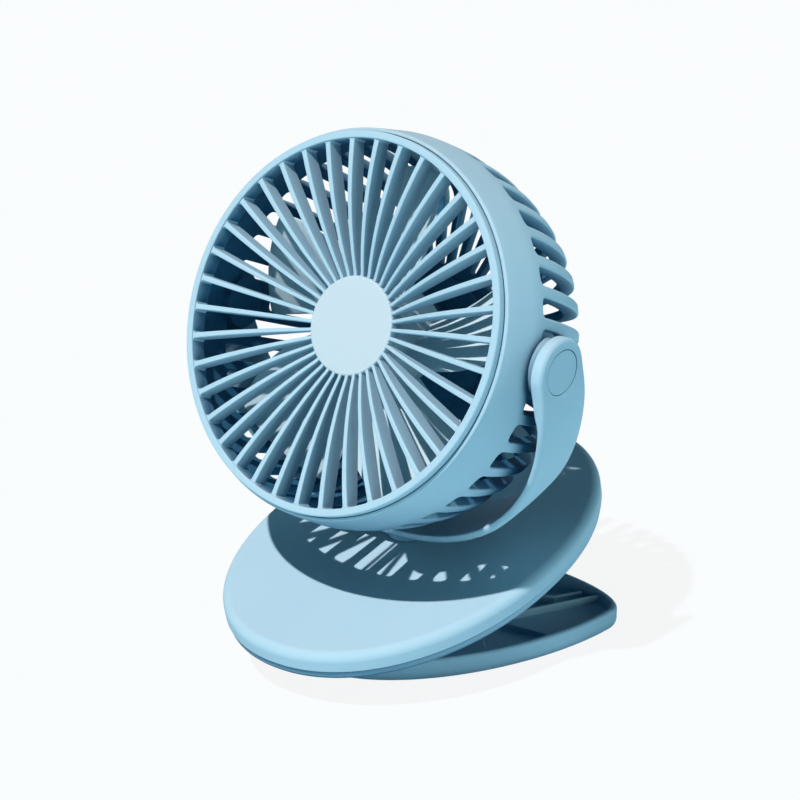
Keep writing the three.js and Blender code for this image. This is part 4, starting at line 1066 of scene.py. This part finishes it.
def wallAlong(points, thickness, low, high):
    # an upright wall with a rounded top, carried along a bent line with mitred corners
    points, rounding, half = np.array(points, float), 0.45, thickness / 2
    direction = np.diff(points, axis=0)
    direction /= np.linalg.norm(direction, axis=1, keepdims=True)
    after = np.concatenate([direction, direction[-1:]])
    mitre = np.concatenate([direction[:1], direction]) + after
    mitre /= np.linalg.norm(mitre, axis=1, keepdims=True)
    normal = coordinates(-mitre[:, 1], mitre[:, 0]) / np.sum(mitre * after, axis=1, keepdims=True)
    section = filleted([(-half, low), (-half, high), (half, high), (half, low)], [0, rounding, rounding, 0], steps=5)
    flat = points[:, None] + normal[:, None] * section[None, :, :1]
    ring = coordinates(flat[..., 0], flat[..., 1], section[:, 1])
    return ring.reshape(-1, 3), capped(*ring.shape[:2])


def makeJaw(j, h):
    # a tray: one chain of (inset, height) carried round the oval, with a wall that stands up all round
    floor, top, deep, wall = j["floor"], j["height"], j["flatFrom"], j["wall"]
    chain = filleted([(deep, 0), (0, 0), (0, top), (wall, top), (wall, floor), (deep, floor)],
                     [0, j["edge"], 1.1, 0.7, 1.1, 0], steps=8)
    makePiece("jawTray", ovalDish(chain, j), worldPlace, "lower_clip", "jawPlastic", "lower_jaw")

    # ledges, ribs and the pad's seat stand on the floor, mirrored, and are cropped to the tray's inside
    inside = coordinates(*oval(np.linspace(0, 2 * np.pi, 160, endpoint=False), j, wall - 0.5))
    root = floor - j["rooted"]
    room = extruded(inside, root, top + 4, axis="z")
    half, front, back = h["padHalf"], h["padFront"] - 20, h["padBack"]
    seat = [(-half, front), (half, front), (half, back), (-half, back)]
    ribs = joined(wallAlong(j["longRib"], j["longRibWidth"], root, j["longRibTop"]),
                  wallAlong(j["bentRib"], j["bentRibWidth"], root, j["bentRibTop"]))
    features = [
        ("jawFrontLedge", mirrored(extruded(j["frontLedge"], root, j["ledge"], axis="z")), "jawPlastic", 0.35),
        ("jawSideLedge", mirrored(extruded(j["sideLedge"], root, j["ledge"], axis="z")), "jawPlastic", 0.35),
        # the ribs take the paler finish: painted light on their tops
        ("jawRibs", mirrored(ribs), "paintedLightPlastic", 0.0),
        ("jawGripSeat", extruded(seat, root, h["padTop"] - h["padThickness"] - h["gap"], axis="z"), "jawPlastic", 0.4),
    ]
    for name, shape, look, bevel in features:
        makePiece(name, shape, worldPlace, "lower_clip", look, "lower_jaw", crop=room, bevel=bevel)


makeJaw(jaw, hinge)
print("jaw made")


# parts kept from the frame: the hidden ones get their own finish, and any other slot the shell's

kept = {
    "steel": ["motor_can", "motor_shaft", "pivot_screw_left", "pivot_screw_right", "swivel_washer"],
    "darkSteel": ["motor_screw_left", "motor_screw_right", "swivel_screw"],
    "solderMask": ["head_board", "base_board"],
    "foilWrap": ["battery"],
    "bushPlastic": ["pivot_bush_left", "pivot_bush_right"],
}
for finishName, names in kept.items():
    for name in names:
        node = frame["nodes"][name]
        if not node.material_slots:
            node.data.materials.append(finishes[finishName])
        for socket in node.material_slots:
            socket.material = finishes[finishName]
for node in frame["nodes"].values():
    for socket in node.material_slots:
        if socket.material is None or socket.material.name not in finishes:
            socket.material = finishes["shellPlastic"]


# floor, light and camera

studio = {
    "ambient": (0.05, 0.60, 1.0), "ambientStrength": 0.04,
    "floorWhite": 0.9, "floorPaint": (0.50, 0.74, 0.84), "floorRoughness": 0.9, "floorReach": 3.0, "floorDrop": 0.0002,
    "lampDistance": 0.9,
}
# a sun's spread is its angle in degrees, and an area's the width of its disc in metres
lamps = {
    "key": {
        "kind": "SUN", "toward": (0.0, -0.549, 0.836), "strength": 3.85, "colour": (1.0, 0.915, 0.88),
        "spread": 1.2},
    "sideFill": {
        "kind": "AREA", "toward": (0.9, -0.35, -0.08), "strength": 3.1, "colour": (0.56, 0.84, 0.90),
        "spread": 0.5},
    "frontFill": {
        "kind": "AREA", "toward": (-0.35, -1.0, -0.08), "strength": 1.0, "colour": (0.30, 0.92, 1.0),
        "spread": 0.5},
    "backFill": {
        "kind": "AREA", "toward": (0.75, 0.8, 0.2), "strength": 1.4, "colour": (0.56, 0.84, 0.90),
        "spread": 0.4},
}
# fitted to the photo: a long lens, from the front right and a little above
view = {"turn": 38.4943, "rise": 16.5129, "distance": 710.4518, "aimHeight": 110.9,
        "lookTurn": 37.9413, "lookDown": 18.2831, "lens": 99.0}


def cameraOnly(tree, plain, seen):
    # rays from the camera, mirrored or passed through, meet the second shader, and all others the first
    path = addNode(tree, "ShaderNodeLightPath").outputs
    share = path["Is Camera Ray"]
    for kind in ("Is Glossy Ray", "Is Transmission Ray"):
        share = addNode(tree, "ShaderNodeMath", {0: share, 1: path[kind]}, operation="MAXIMUM").outputs["Value"]
    return addNode(tree, "ShaderNodeMixShader", {"Fac": share, 1: plain, 2: seen}).outputs["Shader"]


def makeStage(s):
    # the world is white to the camera and a dim colour to the object
    world = bpy.data.worlds.new("studio")
    bpy.context.scene.world = world
    world.use_nodes = True
    tree = world.node_tree
    plain = tree.nodes["Background"]
    setInputs(tree, plain, {"Color": (*s["ambient"], 1), "Strength": s["ambientStrength"]})
    white = addNode(tree, "ShaderNodeBackground", {"Color": (1, 1, 1, 1), "Strength": 1.0})
    mix = cameraOnly(tree, plain.outputs["Background"], white.outputs["Background"])
    setInputs(tree, tree.nodes["World Output"], {"Surface": mix})

    # the floor is nearly white to the camera, so that a share of its shadow is left, and paint to the object
    mesh = bpy.data.meshes.new("floor")
    reach, low = s["floorReach"], -s["floorDrop"]
    mesh.from_pydata([(-reach, -reach, low), (reach, -reach, low), (reach, reach, low), (-reach, reach, low)],
                     [], [(0, 1, 2, 3)])
    floor = bpy.data.objects.new("floor", mesh)
    bpy.context.scene.collection.objects.link(floor)
    paint = bpy.data.materials.new("floorPaint")
    paint.use_nodes = True
    tree = paint.node_tree
    surface = tree.nodes["Principled BSDF"]
    setInputs(tree, surface, {"Base Color": (*s["floorPaint"], 1), "Roughness": s["floorRoughness"]})
    glow = addNode(tree, "ShaderNodeEmission", {"Color": (1, 1, 1, 1), "Strength": 1.0})
    soft = addNode(tree, "ShaderNodeMixShader", {
        "Fac": s["floorWhite"], 1: surface.outputs["BSDF"], 2: glow.outputs["Emission"]})
    mix = cameraOnly(tree, surface.outputs["BSDF"], soft.outputs["Shader"])
    setInputs(tree, tree.nodes["Material Output"], {"Surface": mix})
    mesh.materials.append(paint)


def makeLights(s):
    # each lamp stands at one distance from the tilt axis, in its direction, and looks back at it
    for name, values in lamps.items():
        lamp = bpy.data.lights.new(name, values["kind"])
        lamp.energy, lamp.color = values["strength"], values["colour"]
        if values["kind"] == "SUN":
            lamp.angle = np.radians(values["spread"])
        else:
            lamp.shape, lamp.size = "DISK", values["spread"]
        thing = bpy.data.objects.new(name, lamp)
        bpy.context.scene.collection.objects.link(thing)
        direction = Vector(values["toward"]).normalized()
        thing.location = Vector(tiltAxisAt) + direction * s["lampDistance"]
        thing.rotation_euler = direction.to_track_quat("Z", "Y").to_euler()


def makeCamera(v):
    # the camera stands at its distance from the aim, turned about the vertical and raised
    turn, rise = np.radians(v["turn"]), np.radians(v["rise"])
    away = np.array([np.sin(turn) * np.cos(rise), -np.cos(turn) * np.cos(rise), np.sin(rise)])
    lens = bpy.data.cameras.new("camera")
    lens.lens, lens.sensor_width = v["lens"], 36.0
    lens.clip_start, lens.clip_end = 0.01, 20.0
    camera = bpy.data.objects.new("camera", lens)
    bpy.context.scene.collection.objects.link(camera)
    camera.location = (np.array([0, 0, v["aimHeight"]]) + v["distance"] * away) * millimetre
    camera.rotation_euler = (np.radians(90 - v["lookDown"]), 0, np.radians(v["lookTurn"]))
    bpy.context.scene.camera = camera


makeStage(studio)
makeLights(studio)
makeCamera(view)
bpy.context.scene.view_settings.view_transform = "Standard"
print("stage made")

bpy.context.view_layer.update()
